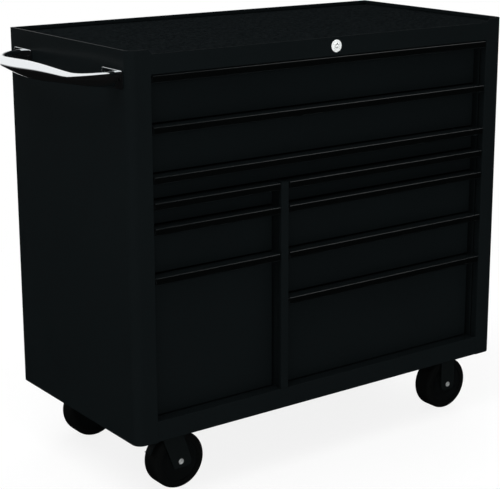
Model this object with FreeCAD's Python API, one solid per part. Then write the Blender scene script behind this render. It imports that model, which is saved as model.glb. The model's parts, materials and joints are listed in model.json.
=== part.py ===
import FreeCAD, Part
import math
import os
from FreeCAD import Vector

os.makedirs("parts", exist_ok=True)

# Rolling tool cabinet: a sheet-metal carcass with ten drawers on ball-bearing slides,
# standing on two swivel and two rigid casters. Millimetres, +X right, -Y front, +Z up.

# Carcass
body_width = 1016.0
body_depth = 498.0
body_height = 820.0
sheet = 1.2
corner_radius = 20.0
rear_corner_radius = 3.0
bend_radius = 2.5
stile_width = 51.5
jamb_depth = 18.0
rear_flange = 25.0
rim_hem_depth = 8.0
seam_gap = 0.4

# Top tray and its mat
mat_recess = 10.3
mat_thickness = 3.0
mat_clearance = 0.6
mat_corner_radius = 14.0

# Front rails and the post between the two banks of drawers
top_rail_drop = 9.0
top_rail_height = 41.2
top_rail_return = 22.0
step_run = 8.0
bottom_rail_height = 45.5
bottom_rail_edge_radius = 4.0
bottom_rail_top_return = 31.5
bottom_rail_lower_return = 22.0
divider_left = 370.2
divider_width = 20.4
divider_return = 12.0
partition_thickness = 12.6
divider_headroom = 1.6

# Base pan
pan_sheet = 2.0
pan_height = 10.5
pan_flange = 20.0
pan_setback = 20.4
pan_corner_relief = 3.0

# Uprights that carry the slides
upright_start = 24.0
upright_width = 40.0
upright_stand_in = 50.0

# Drawers, heights measured over each drawer front
first_pull_drop = 52.0
deep_pitch = 103.3
second_pitch = 101.2
third_pitch = 53.3
shallow_pitch = 52.6
drawer_sheet = 1.0
face_recess = 28.7
box_rear_clearance = 39.3
divider_face_gap = 4.6
side_drop = 14.0
floor_lift = 3.0
front_gap = 2.2
lower_gap = 2.0
catch_reach = 9.3
catch_drop = 7.0
catch_width = 36.0

# Full-length drawer pulls
pull_height = 14.4
pull_crown = 1.2
pull_wall = 2.4
pull_web = 2.0
pull_corner_radius = 1.8
pull_lip = 5.6
pull_lip_wall = 1.6
pull_leg = 20.0
pull_end_gap = 3.0
trim_lower_edge = 1.2
trim_depth = 0.8

# Slides
slide_width = 12.7
slide_height = 30.0
slide_start = 44.0
slide_sheet = 1.2
slide_flange = 9.5
slide_lift = 4.0
slide_running_gap = 0.4
runner_flange = 8.0

# Lock
lock_side_step = 7.5
lock_drop = 19.5
lock_bezel_radius = 14.2
lock_bezel_thickness = 2.2
lock_stand_out = 3.0
lock_barrel_radius = 11.0
lock_barrel_length = 26.0
lock_plug_radius = 8.0
lock_fit = 0.05
lock_rod_radius = 4.0
lock_plug_tail = 6.0
keyway_outer_radius = 5.0
keyway_inner_radius = 3.4
keyway_depth = 6.0
key_notch_width = 1.8
key_notch_reach = 6.4
hanger_width = 24.0
hanger_sheet = 2.0
hanger_stand_off = 30.0
hanger_drop = 9.0
crank_radius = 10.0
crank_thickness = 4.0
crank_pin_radius = 2.5
crank_pin_length = 12.0
lock_bar_width = 24.0
lock_bar_sheet = 2.0
lock_bar_setback = 16.0
lock_bar_foot = 60.0
left_bar_x = 214.0
bar_link_rise = 34.0
bar_link_height = 22.0
bar_slot_clearance = 0.9
bar_head_wall = 2.8
hook_width = 16.0
hook_tip = 3.0
hook_height = 8.0
hook_arm = 4.0
hook_play = 1.0
guide_ear = 3.0
guide_height = 16.0
guide_clearance = 0.3
guide_shares = (0.146, 0.488, 0.78)

# Side handle, an oval bow that is fuller in the middle
handle_reach = 78.1
handle_drop = 58.5
handle_foot_inset = 50.0
handle_bend_radius = 60.0
handle_bow_radius = 1222.0
handle_middle_half_height = 18.0
handle_neck_half_height = 11.5
handle_foot_half_height = 15.5
handle_half_depth = 11.5
handle_foot_half_depth = 13.0
handle_wall = 2.0
foot_plate_length = 80.0
foot_plate_height = 37.0
foot_plate_thickness = 3.0
foot_plate_shift = 10.0
foot_bolt_spacing = 55.0

# Casters
wheel_radius = 63.5
wheel_width = 47.5
tread_radius = 8.0
wheel_dish_radius = 45.0
wheel_dish_depth = 2.5
wheel_hub_radius = 17.0
wheel_hub_stand_out = 1.6
axle_drop = 83.0
axle_radius = 5.0
axle_fit = 0.05
axle_head_radius = 6.5
axle_head_height = 3.0
leg_thickness = 3.5
leg_gap = 2.2
swivel_inset = 101.0
rigid_inset = 92.5
front_caster_inset = 80.0
rear_caster_inset = 54.0
swivel_offset = 37.6
plate_width = 85.0
plate_depth = 100.0
plate_thickness = 3.0
bolt_spacing_x = 60.0
bolt_spacing_y = 80.0
raceway_radius = 28.0
raceway_height = 9.0
crown_thickness = 6.5
swivel_gap = 0.3
kingpin_radius = 6.0
kingpin_head_radius = 10.0
kingpin_head_height = 3.4
swivel_leg_top = 53.6
swivel_leg_bottom = 48.0
leg_lean = 19.0
leg_forward_shift = 2.1
leg_below_axle = 14.6
leg_front_corner_radius = 12.0
leg_rear_corner_radius = 5.0
rigid_leg_width = 42.0
rigid_leg_radius = 14.0

# Brake pedals on the swivel casters, angles measured round the wheel
brake_pin_x = 6.0
brake_pin_drop = 19.0
brake_pin_radius = 3.0
brake_boss_radius = 6.0
brake_boss_length = 44.0
brake_lever_width = 20.0
brake_lever_sheet = 2.5
brake_lever_clearance = 4.5
brake_lever_sweep = 43.5
brake_toe_rise = 1.8
shoe_clearance = 1.9
shoe_start = 9.0
shoe_sweep = 10.0

# Bolts
bolt_radius = 4.0
bolt_hole_radius = 4.5
bolt_head_flat = 13.0
bolt_head_height = 5.3
bolt_fit = 0.05
handle_bolt_radius = 3.0
handle_hole_radius = 3.3
handle_bolt_head_flat = 10.0
handle_bolt_head_height = 4.0

# Places worked out from the sizes above. The origin is the middle of the whole footprint,
# side handle and lock included, on the floor.
handle_out = handle_reach + handle_half_depth
left = (handle_out - body_width) / 2
right = left + body_width
front = (lock_stand_out - body_depth) / 2
rear = front + body_depth
base = wheel_radius + axle_drop
upright_rear_start = body_depth - upright_start - upright_width
top = base + body_height
tray_floor_top = top - mat_recess - mat_thickness
tray_floor_under = tray_floor_top - sheet
back_inner = rear - sheet
rail_top = base + bottom_rail_height
pan_top = base + pan_height + pan_sheet
first_pull_top = top - first_pull_drop
bank_height = first_pull_top - deep_pitch - second_pitch - third_pitch
box_depth = body_depth - face_recess - box_rear_clearance
handle_z = top - handle_drop
divider_top = bank_height + pull_crown + front_gap - divider_headroom
opening_left = left + stile_width
opening_right = right - stile_width
post_left = left + divider_left
post_right = post_left + divider_width
partition_x = (post_left + post_right) / 2
lock_x = left + body_width / 2 + lock_side_step
lock_z = top - top_rail_drop - lock_drop
bar_front = back_inner - lock_bar_setback
bar_back = bar_front + lock_bar_sheet


def box(x0, x1, y0, y1, z0, z1):
    return Part.makeBox(x1 - x0, y1 - y0, z1 - z0, Vector(x0, y0, z0))


def rod_y(x, z, radius, y0, y1):
    return Part.makeCylinder(radius, y1 - y0, Vector(x, y0, z), Vector(0, 1, 0))


def rod_z(x, y, radius, z0, z1):
    return Part.makeCylinder(radius, z1 - z0, Vector(x, y, z0), Vector(0, 0, 1))


def fuse(shapes):
    return shapes[0].multiFuse(shapes[1:]).removeSplitter()


def path_edges(points, radii):
    # Straight runs joined by tangent arcs, one radius for each inner corner.
    starts = [points[0]]
    edges = []
    for i in range(1, len(points) - 1):
        before = (points[i - 1] - points[i]).normalize()
        after = (points[i + 1] - points[i]).normalize()
        radius = radii[i - 1]
        if radius <= 0:
            edges.append(Part.LineSegment(starts[-1], points[i]).toShape())
            starts.append(points[i])
            continue
        half = before.getAngle(after) / 2
        run = radius / math.tan(half)
        bisector = (before + after).normalize()
        enter = points[i] + before * run
        leave = points[i] + after * run
        middle = points[i] + bisector * (radius / math.sin(half) - radius)
        if enter.distanceToPoint(starts[-1]) > 1e-6:
            edges.append(Part.LineSegment(starts[-1], enter).toShape())
        edges.append(Part.Arc(enter, middle, leave).toShape())
        starts.append(leave)
    edges.append(Part.LineSegment(starts[-1], points[-1]).toShape())
    return edges


def offset_path(points, radii, normal, distance):
    # The same path moved sideways, to the left of its run as seen against the normal.
    runs = []
    for a, b in zip(points, points[1:]):
        direction = (b - a).normalize()
        runs.append((a + normal.cross(direction) * distance, direction))
    moved = [runs[0][0]]
    moved_radii = []
    for i in range(1, len(runs)):
        (p, d), (q, e) = runs[i - 1], runs[i]
        turn = d.cross(e).dot(normal)
        moved.append(p + d * ((q - p).cross(e).dot(normal) / turn))
        side = 1 if turn > 0 else -1
        moved_radii.append(max(radii[i - 1] - side * distance, 0))
    end = points[-1] - points[-2]
    moved.append(runs[-1][0] + end)
    return moved, moved_radii


def folded_sheet(points, radii, thickness, normal, length):
    # A bent sheet: its outer face runs through the points and it is extruded along the normal.
    inner, inner_radii = offset_path(points, radii, normal, thickness)
    edges = path_edges(points, radii)
    edges.append(Part.LineSegment(points[-1], inner[-1]).toShape())
    edges += path_edges(inner[::-1], inner_radii[::-1])
    edges.append(Part.LineSegment(inner[0], points[0]).toShape())
    return Part.Face(Part.Wire(edges)).extrude(normal * length)


def outline_prism(points, radii, direction):
    # A closed outline with a corner radius at each point, extruded along the direction.
    count = len(points)
    start = (points[-1] + points[0]) * 0.5
    loop = [start] + points + [start]
    return Part.Face(Part.Wire(path_edges(loop, radii[:count]))).extrude(direction)


def mirrored_x(shape, x):
    return shape.mirror(Vector(x, 0, 0), Vector(1, 0, 0))


def ring_piece(x, z, inner, outer, start, end, y0, y1):
    # Part of a flat ring about the Y direction, between two angles in degrees.
    def at(radius, angle):
        turn = math.radians(angle)
        return Vector(x + radius * math.cos(turn), y0, z + radius * math.sin(turn))
    middle = (start + end) / 2
    edges = [Part.Arc(at(outer, start), at(outer, middle), at(outer, end)).toShape(),
             Part.LineSegment(at(outer, end), at(inner, end)).toShape(),
             Part.Arc(at(inner, end), at(inner, middle), at(inner, start)).toShape(),
             Part.LineSegment(at(inner, start), at(outer, start)).toShape()]
    return Part.Face(Part.Wire(edges)).extrude(Vector(0, y1 - y0, 0))


def hex_prism(x, y, z, flat, height):
    corner = flat / math.sqrt(3)
    ring = [Vector(x + corner * math.cos(math.radians(60 * i + 30)),
                   y + corner * math.sin(math.radians(60 * i + 30)), z) for i in range(6)]
    return Part.Face(Part.makePolygon(ring + ring[:1])).extrude(Vector(0, 0, height))


# Carcass pieces

def side_panel():
    # Left side: rear flange, rounded rear edge, flat side, rounded front post, stile and jamb.
    rim_z = top - sheet
    path = [Vector(left + rear_flange, back_inner, base), Vector(left, back_inner, base),
            Vector(left, front, base), Vector(opening_left, front, base),
            Vector(opening_left, front + jamb_depth, base)]
    radii = [rear_corner_radius, corner_radius, bend_radius]
    up = Vector(0, 0, 1)
    wall = folded_sheet(path, radii, sheet, up, body_height)
    # The rim is hemmed over the tray's flange on the side and across the stile.
    rim_path = [Vector(left, back_inner, rim_z), Vector(left, front, rim_z),
                Vector(opening_left, front, rim_z)]
    cap = folded_sheet(rim_path, [corner_radius], 3 * sheet, up, sheet)
    leg_path, leg_radii = offset_path(rim_path, [corner_radius], up, 2 * sheet)
    leg = folded_sheet(leg_path, leg_radii, sheet, up, -(rim_hem_depth - sheet))
    panel = fuse([wall, cap, leg])
    # The rear flange stops under the tray, and the stile steps down to the top rail.
    panel = panel.cut(box(left + sheet, left + rear_flange + 1,
                          back_inner - rear_corner_radius, rear, tray_floor_under, top + 1))
    panel = panel.cut(box(opening_left - 2 * sheet, opening_left + 1, front + 2 * sheet,
                          front + 4 * sheet, tray_floor_under, top - rim_hem_depth))
    panel = panel.cut(box(opening_left - 2 * sheet, opening_left + 1, front + 4 * sheet,
                          front + jamb_depth + 1, tray_floor_under, top + 1))
    step = Part.makePolygon([Vector(opening_left - step_run, front - 1, top + 0.01),
                             Vector(opening_left + 1, front - 1, top + 0.01),
                             Vector(opening_left + 1, front - 1, top - top_rail_drop),
                             Vector(opening_left, front - 1, top - top_rail_drop),
                             Vector(opening_left - step_run, front - 1, top + 0.01)])
    wedge = Part.Face(step).extrude(Vector(0, jamb_depth + 2, 0))
    return panel.cut(wedge)


def caster_places():
    xs = (left + swivel_inset, right - rigid_inset)
    ys = (front + front_caster_inset, rear - rear_caster_inset)
    return xs, ys


def caster_bolt_places():
    xs, ys = caster_places()
    places = []
    for x in xs:
        for y in ys:
            for sx in (-1, 1):
                for sy in (-1, 1):
                    places.append((x + sx * bolt_spacing_x / 2, y + sy * bolt_spacing_y / 2))
    return places


def foot_plate_centres():
    inset = handle_foot_inset + foot_plate_shift
    return front + inset, rear - inset


def handle_bolt_places():
    places = []
    for middle in foot_plate_centres():
        for side in (-1, 1):
            places.append((middle + side * foot_bolt_spacing / 2, handle_z))
    return places


def back_panel():
    # Flat sheet with a hem over the tray's rear flange, and clips that guide the lock bar.
    sheet_body = box(left, right, back_inner, rear, base, top)
    hem_left = left + 3 * sheet
    hem_right = right - 3 * sheet
    hem = box(hem_left, hem_right, rear - 3 * sheet, rear, top - sheet, top)
    hem_leg = box(hem_left, hem_right, rear - 3 * sheet, rear - 2 * sheet,
                  top - rim_hem_depth, top)
    clips = []
    heights = [base + share * body_height for share in guide_shares]
    guides = [(lock_x, z) for z in heights]
    guides += [(left + left_bar_x, z) for z in heights[:2]]
    for x, z in guides:
        half = lock_bar_width / 2
        for side in (-1, 1):
            near = x + side * (half + guide_clearance)
            far = near + side * guide_ear
            lip = x + side * (half - guide_ear + 1)
            clips.append(box(min(near, far), max(near, far), bar_front - guide_ear,
                             back_inner, z, z + guide_height))
            clips.append(box(min(lip, far), max(lip, far), bar_front - guide_ear,
                             bar_front - guide_clearance, z, z + guide_height))
            clips.append(box(min(lip, far), max(lip, far), bar_back + guide_clearance,
                             back_inner, z, z + guide_height))
    return fuse([sheet_body, hem, hem_leg] + clips)


def base_pan():
    # Floor plate with upturned flanges; the casters bolt up through it.
    x0 = left + sheet
    x1 = right - sheet
    y0 = front + pan_setback
    y1 = back_inner - sheet
    z0 = base + pan_height
    z1 = pan_top + pan_flange
    riser = front + bottom_rail_top_return - pan_sheet
    plate = box(x0, x1, y0, y1, z0, pan_top)
    flanges = [box(x0, x0 + pan_sheet, y0, y1, z0, z1), box(x1 - pan_sheet, x1, y0, y1, z0, z1),
               box(x0, x1, y1 - pan_sheet, y1, z0, z1),
               box(opening_left + seam_gap, opening_right - seam_gap, riser, riser + pan_sheet,
                   z0, rail_top - sheet)]
    pan = fuse([plate] + flanges)
    # The rear corners are nipped off clear of the side panels' bends.
    for x in (x0, x1 - pan_corner_relief):
        pan = pan.cut(box(x, x + pan_corner_relief, y1 - pan_corner_relief, y1,
                          z0 - 1, z1 + 1))
    for x, y in caster_bolt_places():
        pan = pan.cut(rod_z(x, y, bolt_hole_radius, z0 - 1, pan_top + 1))
    for x in (left + sheet, right - sheet - upright_stand_in):
        for y in (front + upright_start, front + upright_rear_start):
            notch = box(x, x + upright_stand_in, y, y + upright_width, pan_top, z1 + 1)
            pan = pan.cut(notch)
    return pan


def tray_outline(inset, z):
    # Plan of the tray inside the hems: square at the rear, rounded at the front posts,
    # and brought forward to the top rail between them.
    x0 = left + inset
    x1 = right - inset
    y0 = front + inset
    y1 = rear - inset
    r = corner_radius - inset
    points = [Vector(x0, y1, z), Vector(x0, y0, z), Vector(x1, y0, z), Vector(x1, y1, z)]
    return points, [0, r, r, 0]


def top_panel():
    points, radii = tray_outline(sheet, tray_floor_under)
    rise = top - sheet - tray_floor_under
    outer = outline_prism(points, radii, Vector(0, 0, rise))
    points, radii = tray_outline(2 * sheet, tray_floor_top)
    tray = outer.cut(outline_prism(points, radii, Vector(0, 0, rise)))
    # The front flange is left out between the stiles, where the top rail closes the tray.
    rail_gap = box(opening_left - step_run, opening_right + step_run, front, front + 2 * sheet,
                   tray_floor_under - 1, top + 1)
    tray = tray.cut(rail_gap)
    tray = tray.cut(box(opening_left - step_run, opening_right + step_run, front,
                        front + 2 * sheet + 0.01, tray_floor_top, top + 1))
    # A hanger under the tray carries the rear end of the lock rod.
    y = bar_front - hanger_stand_off
    hanger = box(lock_x - hanger_width / 2, lock_x + hanger_width / 2, y, y + hanger_sheet,
                 lock_z - hanger_drop, tray_floor_under)
    hanger = hanger.cut(rod_y(lock_x, lock_z, lock_rod_radius + lock_fit,
                              y - 1, y + hanger_sheet + 1))
    return fuse([tray, hanger])


def top_mat():
    x0 = left + 3 * sheet + mat_clearance
    x1 = right - 3 * sheet - mat_clearance
    y0 = front + 3 * sheet + mat_clearance
    y1 = rear - 3 * sheet - mat_clearance
    z = tray_floor_top
    r = mat_corner_radius
    points = [Vector(x0, y1, z), Vector(x0, y0, z), Vector(x1, y0, z), Vector(x1, y1, z)]
    return outline_prism(points, [2, r, r, 2], Vector(0, 0, mat_thickness))


def top_rail():
    # Face between the stiles with a hemmed top edge and a lower return, pierced for the lock.
    z1 = top - top_rail_drop
    z0 = z1 - top_rail_height
    x0 = opening_left
    points = [Vector(x0, front + top_rail_return, z0), Vector(x0, front, z0),
              Vector(x0, front, z1)]
    face = folded_sheet(points, [bend_radius], sheet, Vector(-1, 0, 0),
                        -(opening_right - opening_left))
    hem = box(opening_left, opening_right, front, front + 2 * sheet, tray_floor_under, z1)
    rail = fuse([face, hem])
    return rail.cut(rod_y(lock_x, lock_z, lock_barrel_radius, front - 1, front + 4))


def bottom_rail():
    x0 = opening_left + seam_gap
    points = [Vector(x0, front + bottom_rail_lower_return, base), Vector(x0, front, base),
              Vector(x0, front, rail_top), Vector(x0, front + bottom_rail_top_return, rail_top)]
    length = opening_right - opening_left - 2 * seam_gap
    return folded_sheet(points, [bend_radius, bottom_rail_edge_radius], sheet,
                        Vector(-1, 0, 0), -length)


def divider():
    # Channel flush with the front, and behind it the double-skinned partition.
    x0 = partition_x - partition_thickness / 2
    x1 = partition_x + partition_thickness / 2
    y1 = front + divider_return
    points = [Vector(x0, y1, rail_top), Vector(post_left, y1, rail_top),
              Vector(post_left, front, rail_top), Vector(post_right, front, rail_top),
              Vector(post_right, y1, rail_top), Vector(x1, y1, rail_top)]
    channel = folded_sheet(points, [bend_radius] * 4, sheet, Vector(0, 0, 1),
                           divider_top - rail_top)
    cap = outline_prism([Vector(post_left, y1, divider_top - sheet),
                         Vector(post_left, front, divider_top - sheet),
                         Vector(post_right, front, divider_top - sheet),
                         Vector(post_right, y1, divider_top - sheet)],
                        [0, bend_radius, bend_radius, 0], Vector(0, 0, sheet))
    upper = box(x0, x1, y1 - sheet, back_inner, rail_top, divider_top)
    lower = box(x0, x1, front + bottom_rail_top_return + seam_gap, back_inner - 2 * sheet,
                pan_top, rail_top)
    lower = lower.cut(box(x0, x1, back_inner - sheet - pan_sheet - seam_gap, rear,
                          pan_top, pan_top + pan_flange + seam_gap))
    hollow = box(x0 + sheet, x1 - sheet, front + bottom_rail_top_return + 2 * sheet,
                 back_inner - 6 * sheet, pan_top - 1, divider_top - sheet)
    return fuse([channel, cap, upper, lower]).cut(hollow)


def slide_uprights():
    # Four channels, one near the front and one near the back of each side.
    pieces = []
    for start in (upright_start, upright_rear_start):
        y0 = front + start
        y1 = y0 + upright_width
        points = [Vector(left + sheet, y0, pan_top), Vector(left + upright_stand_in, y0, pan_top),
                  Vector(left + upright_stand_in, y1, pan_top), Vector(left + sheet, y1, pan_top)]
        channel = folded_sheet(points, [bend_radius] * 2, sheet, Vector(0, 0, 1),
                               tray_floor_under - pan_top)
        pieces.append(channel)
        pieces.append(mirrored_x(channel, (left + right) / 2))
    return Part.makeCompound(pieces)


# Drawers

def drawer_list():
    # name, spans, pull height and the height of the front's lower edge. The spans are the
    # left and right ends of the box, of the pull and of the front.
    side = upright_stand_in + slide_width
    half = partition_thickness / 2 + slide_width
    full = (left + side, right - side, opening_left, opening_right,
            left + side, right - side)
    bank_left = (left + side, partition_x - half, opening_left, post_left,
                 left + side, post_left - divider_face_gap)
    bank_right = (partition_x + half, right - side, post_right, opening_right,
                  post_right + divider_face_gap, right - side)
    second = first_pull_top - deep_pitch
    third = second - second_pitch
    rows = [("full_1", full, first_pull_top, second), ("full_2", full, second, third),
            ("full_3", full, third, bank_height)]
    for bank, span, pitches in (("left", bank_left, [shallow_pitch, deep_pitch]),
                                ("right", bank_right, [shallow_pitch, deep_pitch, deep_pitch])):
        height = bank_height
        for i, pitch in enumerate(pitches):
            rows.append((f"{bank}_{i + 1}", span, height, height - pitch))
            height -= pitch
        rows.append((f"{bank}_{len(pitches) + 1}", span, height, None))
    drawers = []
    for name, span, height, below in rows:
        lower = rail_top + lower_gap if below is None else below + pull_crown + front_gap
        drawers.append((name, span, height, lower))
    return drawers


def hook_x(name):
    # The bar behind the left bank locks its drawers, the one behind the lock the others.
    return left + left_bar_x if name.startswith("left") else lock_x


def drawer_box(span, height, lower):
    # Folded tray with a taller front.
    x0, x1 = span[0], span[1]
    y0 = front + face_recess
    y1 = y0 + box_depth
    t = drawer_sheet
    floor_z = lower + floor_lift
    side_top = height - side_drop
    outer = box(x0, x1, y0, y1, floor_z, side_top)
    inner = box(x0 + t, x1 - t, y0 + t, y1 - t, floor_z + t, side_top + 1)
    tray = outer.cut(inner)
    face = box(span[4], span[5], y0, y0 + t, lower, height - pull_web)
    return fuse([tray, face])


def drawer_catch(name, height):
    # Folded keeper welded to the tray's back, open downwards for the lock bar's hook.
    x = hook_x(name)
    y = front + face_recess + box_depth
    z = height - side_drop
    outer = box(x - catch_width / 2, x + catch_width / 2, y, y + catch_reach, z - catch_drop, z)
    inner = box(x - catch_width, x + catch_width, y + drawer_sheet,
                y + catch_reach - drawer_sheet, z - catch_drop - 1, z - drawer_sheet)
    return outer.cut(inner)


def drawer_pull(span, height):
    # Extrusion over the drawer's top edge: rear leg, crowned web, front wall with a groove
    # for the trim strip, and a lip turned back to be gripped from below.
    x0 = span[2] + pull_end_gap
    x1 = span[3] - pull_end_gap
    y0 = front
    back = front + face_recess
    crown = height + pull_crown
    lower = height - pull_height
    groove_top = height - pull_corner_radius
    groove_bottom = lower + trim_lower_edge
    r = pull_corner_radius
    profile = [(back, crown, 0), (y0 + face_recess / 2, crown, 0), (y0, height, r),
               (y0, groove_top, 0), (y0 + trim_depth, groove_top, 0),
               (y0 + trim_depth, groove_bottom, 0), (y0, groove_bottom, 0),
               (y0, lower, trim_depth), (y0 + pull_lip, lower, pull_lip_wall / 2),
               (y0 + pull_lip, lower + pull_lip_wall, pull_lip_wall / 3),
               (y0 + pull_wall, lower + pull_lip_wall, pull_lip_wall / 2),
               (y0 + pull_wall, height - pull_web, pull_web),
               (back - pull_web, height - pull_web, pull_web),
               (back - pull_web, height - pull_leg, 0), (back, height - pull_leg, 0)]
    points = [Vector(x0, y, z) for y, z, radius in profile]
    radii = [radius for y, z, radius in profile]
    return outline_prism(points, radii, Vector(x1 - x0, 0, 0))


def slide_section(x, toward, flange, y, z0, z1, length):
    # Channel open towards +X (toward = 1) or -X (toward = -1).
    start = Vector(x, y, 0)
    web = box(min(x, x + toward * slide_sheet), max(x, x + toward * slide_sheet),
              start.y, start.y + length, z0, z1)
    reach = x + toward * flange
    flanges = [box(min(x, reach), max(x, reach), y, y + length, z, z + slide_sheet)
               for z in (z0, z1 - slide_sheet)]
    return fuse([web] + flanges)


def slide_height_range(lower):
    z0 = lower + slide_lift
    return z0, z0 + slide_height


def cabinet_slides():
    pieces = []
    y = front + slide_start
    for name, span, height, lower in drawer_list():
        z0, z1 = slide_height_range(lower)
        pieces.append(slide_section(span[0] - slide_width, 1, slide_flange, y, z0, z1,
                                    box_depth))
        pieces.append(slide_section(span[1] + slide_width, -1, slide_flange, y, z0, z1,
                                    box_depth))
    return Part.makeCompound(pieces)


def drawer_runners(span, lower):
    gap = slide_sheet + slide_running_gap
    z0, z1 = slide_height_range(lower)
    y = front + slide_start
    length = box_depth + face_recess - slide_start
    pair = [slide_section(span[0], -1, runner_flange, y, z0 + gap, z1 - gap, length),
            slide_section(span[1], 1, runner_flange, y, z0 + gap, z1 - gap, length)]
    return Part.makeCompound(pair)


# Lock

def lock_housing():
    bezel = rod_y(lock_x, lock_z, lock_bezel_radius, front - lock_bezel_thickness, front)
    edge = [e for e in bezel.Edges if abs(e.BoundBox.YMin - (front - lock_bezel_thickness)) < 1e-6
            and abs(e.BoundBox.YLength) < 1e-6]
    bezel = bezel.makeFillet(lock_bezel_thickness * 0.5, edge)
    barrel = rod_y(lock_x, lock_z, lock_barrel_radius - lock_fit, front, front + lock_barrel_length)
    bore = rod_y(lock_x, lock_z, lock_plug_radius + lock_fit, front - 5,
                 front + lock_barrel_length + 1)
    return fuse([bezel, barrel]).cut(bore)


def lock_plug():
    # Round-key plug: an annular keyway with a small notch at the top.
    face_y = front - lock_stand_out
    tail = front + lock_barrel_length + lock_plug_tail
    plug = rod_y(lock_x, lock_z, lock_plug_radius, face_y, tail)
    edge = [e for e in plug.Edges if abs(e.BoundBox.YMin - face_y) < 1e-6
            and abs(e.BoundBox.YLength) < 1e-6]
    plug = plug.makeFillet(0.6, edge)
    depth = face_y + keyway_depth
    ring = rod_y(lock_x, lock_z, keyway_outer_radius, face_y - 1, depth)
    ring = ring.cut(rod_y(lock_x, lock_z, keyway_inner_radius, face_y - 2, depth + 1))
    notch = box(lock_x - key_notch_width / 2, lock_x + key_notch_width / 2, face_y - 1, depth,
                lock_z + keyway_inner_radius + 1, lock_z + key_notch_reach)
    return plug.cut(ring).cut(notch)


def crank_pin_offset():
    return crank_radius * math.sin(math.radians(45))


def lock_rod():
    # Rod from the plug to the back, with a crank whose pin lifts the lock bar.
    y0 = front + lock_barrel_length + lock_plug_tail
    y1 = bar_front - 6.0
    rod = rod_y(lock_x, lock_z, lock_rod_radius, y0, y1)
    step = crank_pin_offset()
    pin_x = lock_x + step
    pin_z = lock_z - step
    hub = rod_y(lock_x, lock_z, lock_rod_radius + 3, y1 - crank_thickness, y1)
    eye = rod_y(pin_x, pin_z, crank_pin_radius + 2.5, y1 - crank_thickness, y1)
    pin = rod_y(pin_x, pin_z, crank_pin_radius, y1 - crank_thickness, y1 + crank_pin_length)
    return fuse([rod, hub, eye, pin])


def lock_bar():
    # Flat bar behind the right bank, linked to a shorter one behind the left bank.
    half = lock_bar_width / 2
    link_top = bank_height + bar_link_rise
    left_x = left + left_bar_x
    step = crank_pin_offset()
    gap = crank_pin_radius + bar_slot_clearance
    bar = fuse([box(lock_x - half, lock_x + half, bar_front, bar_back, base + lock_bar_foot,
                    lock_z - step + gap + bar_head_wall),
                box(left_x - half, left_x + half, bar_front, bar_back, base + lock_bar_foot,
                    link_top),
                box(left_x - half, lock_x + half, bar_front, bar_back,
                    link_top - bar_link_height, link_top)])
    slot = box(lock_x + step - gap, lock_x + half + 1, bar_front - 1, bar_back + 1,
               lock_z - step - gap, lock_z - step + gap)
    return bar.cut(slot)


def lock_hooks():
    # A hook welded to the bar for each drawer. It reaches under the drawer's catch and stands
    # up inside it once the bar is raised.
    hooks = []
    travel = 2 * crank_pin_offset()
    for name, span, height, lower in drawer_list():
        x = hook_x(name)
        lip_y = front + face_recess + box_depth + catch_reach - drawer_sheet
        tip_top = height - side_drop - drawer_sheet - hook_play - travel
        tip_back = lip_y - hook_tip
        foot = tip_top - hook_height - hook_arm
        tip = box(x - hook_width / 2, x + hook_width / 2, tip_back - hook_tip, tip_back,
                  foot, tip_top)
        arm = box(x - hook_width / 2, x + hook_width / 2, tip_back - hook_tip, bar_front,
                  foot, foot + hook_arm)
        hooks.append(fuse([tip, arm]))
    return hooks


# Side handle

def handle_path():
    # Plan of half the bow: straight foot, bend, then the long bow up to the middle.
    # Gives (x, y, heading, share of the way) stations from the front foot to the rear one.
    middle = (front + rear) / 2
    foot = front + handle_foot_inset
    bow_x = left - handle_reach + handle_bow_radius
    rise = middle - (foot + handle_bend_radius)
    spread = handle_bow_radius - handle_bend_radius
    bend_x = bow_x - math.sqrt(spread ** 2 - rise ** 2)
    bend_y = foot + handle_bend_radius
    sweep = math.asin(rise / spread)
    stations = [(left, foot, 0.0)]
    for i in range(4):
        turn = (math.pi / 2 - sweep) * i / 3
        stations.append((bend_x - handle_bend_radius * math.sin(turn),
                         bend_y - handle_bend_radius * math.cos(turn), turn))
    for i in range(1, 4):
        angle = sweep * (1 - i / 3)
        stations.append((bow_x - handle_bow_radius * math.cos(angle),
                         middle - handle_bow_radius * math.sin(angle), math.pi / 2 - angle))
    mirrored = [(x, 2 * middle - y, math.pi - turn) for x, y, turn in stations[-2::-1]]
    return stations + mirrored


def handle_section(x, y, turn, half_height, half_depth):
    # An oval square to the path, made by stretching a circle.
    heading = Vector(-math.cos(turn), math.sin(turn), 0)
    side = heading.cross(Vector(0, 0, 1)) * half_depth
    stretch = FreeCAD.Matrix(side.x, 0, heading.x, x,
                             side.y, 0, heading.y, y,
                             0, half_height, 0, handle_z,
                             0, 0, 0, 1)
    circle = Part.Circle(Vector(0, 0, 0), Vector(0, 0, 1), 1).toShape()
    return Part.Wire([circle.transformGeometry(stretch)])


def handle_sizes():
    # Half height and half depth at each station: foot, neck at the bend, full in the middle.
    rise = [0.0, 0.0, 0.2, 0.55, 1.0]
    heights = [handle_foot_half_height - (handle_foot_half_height - handle_neck_half_height) * s
               for s in rise]
    swell = handle_middle_half_height - handle_neck_half_height
    heights += [handle_neck_half_height + swell * s for s in (0.45, 0.86, 1.0)]
    depths = [handle_foot_half_depth - (handle_foot_half_depth - handle_half_depth) * s
              for s in rise] + [handle_half_depth] * 3
    return list(zip(heights, depths)) + list(zip(heights, depths))[-2::-1]


def handle_loft(shrink):
    wires = []
    for (x, y, turn), (height, depth) in zip(handle_path(), handle_sizes()):
        wires.append(handle_section(x, y, turn, height - shrink, depth - shrink))
    return Part.makeLoft(wires, True, False)


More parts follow.
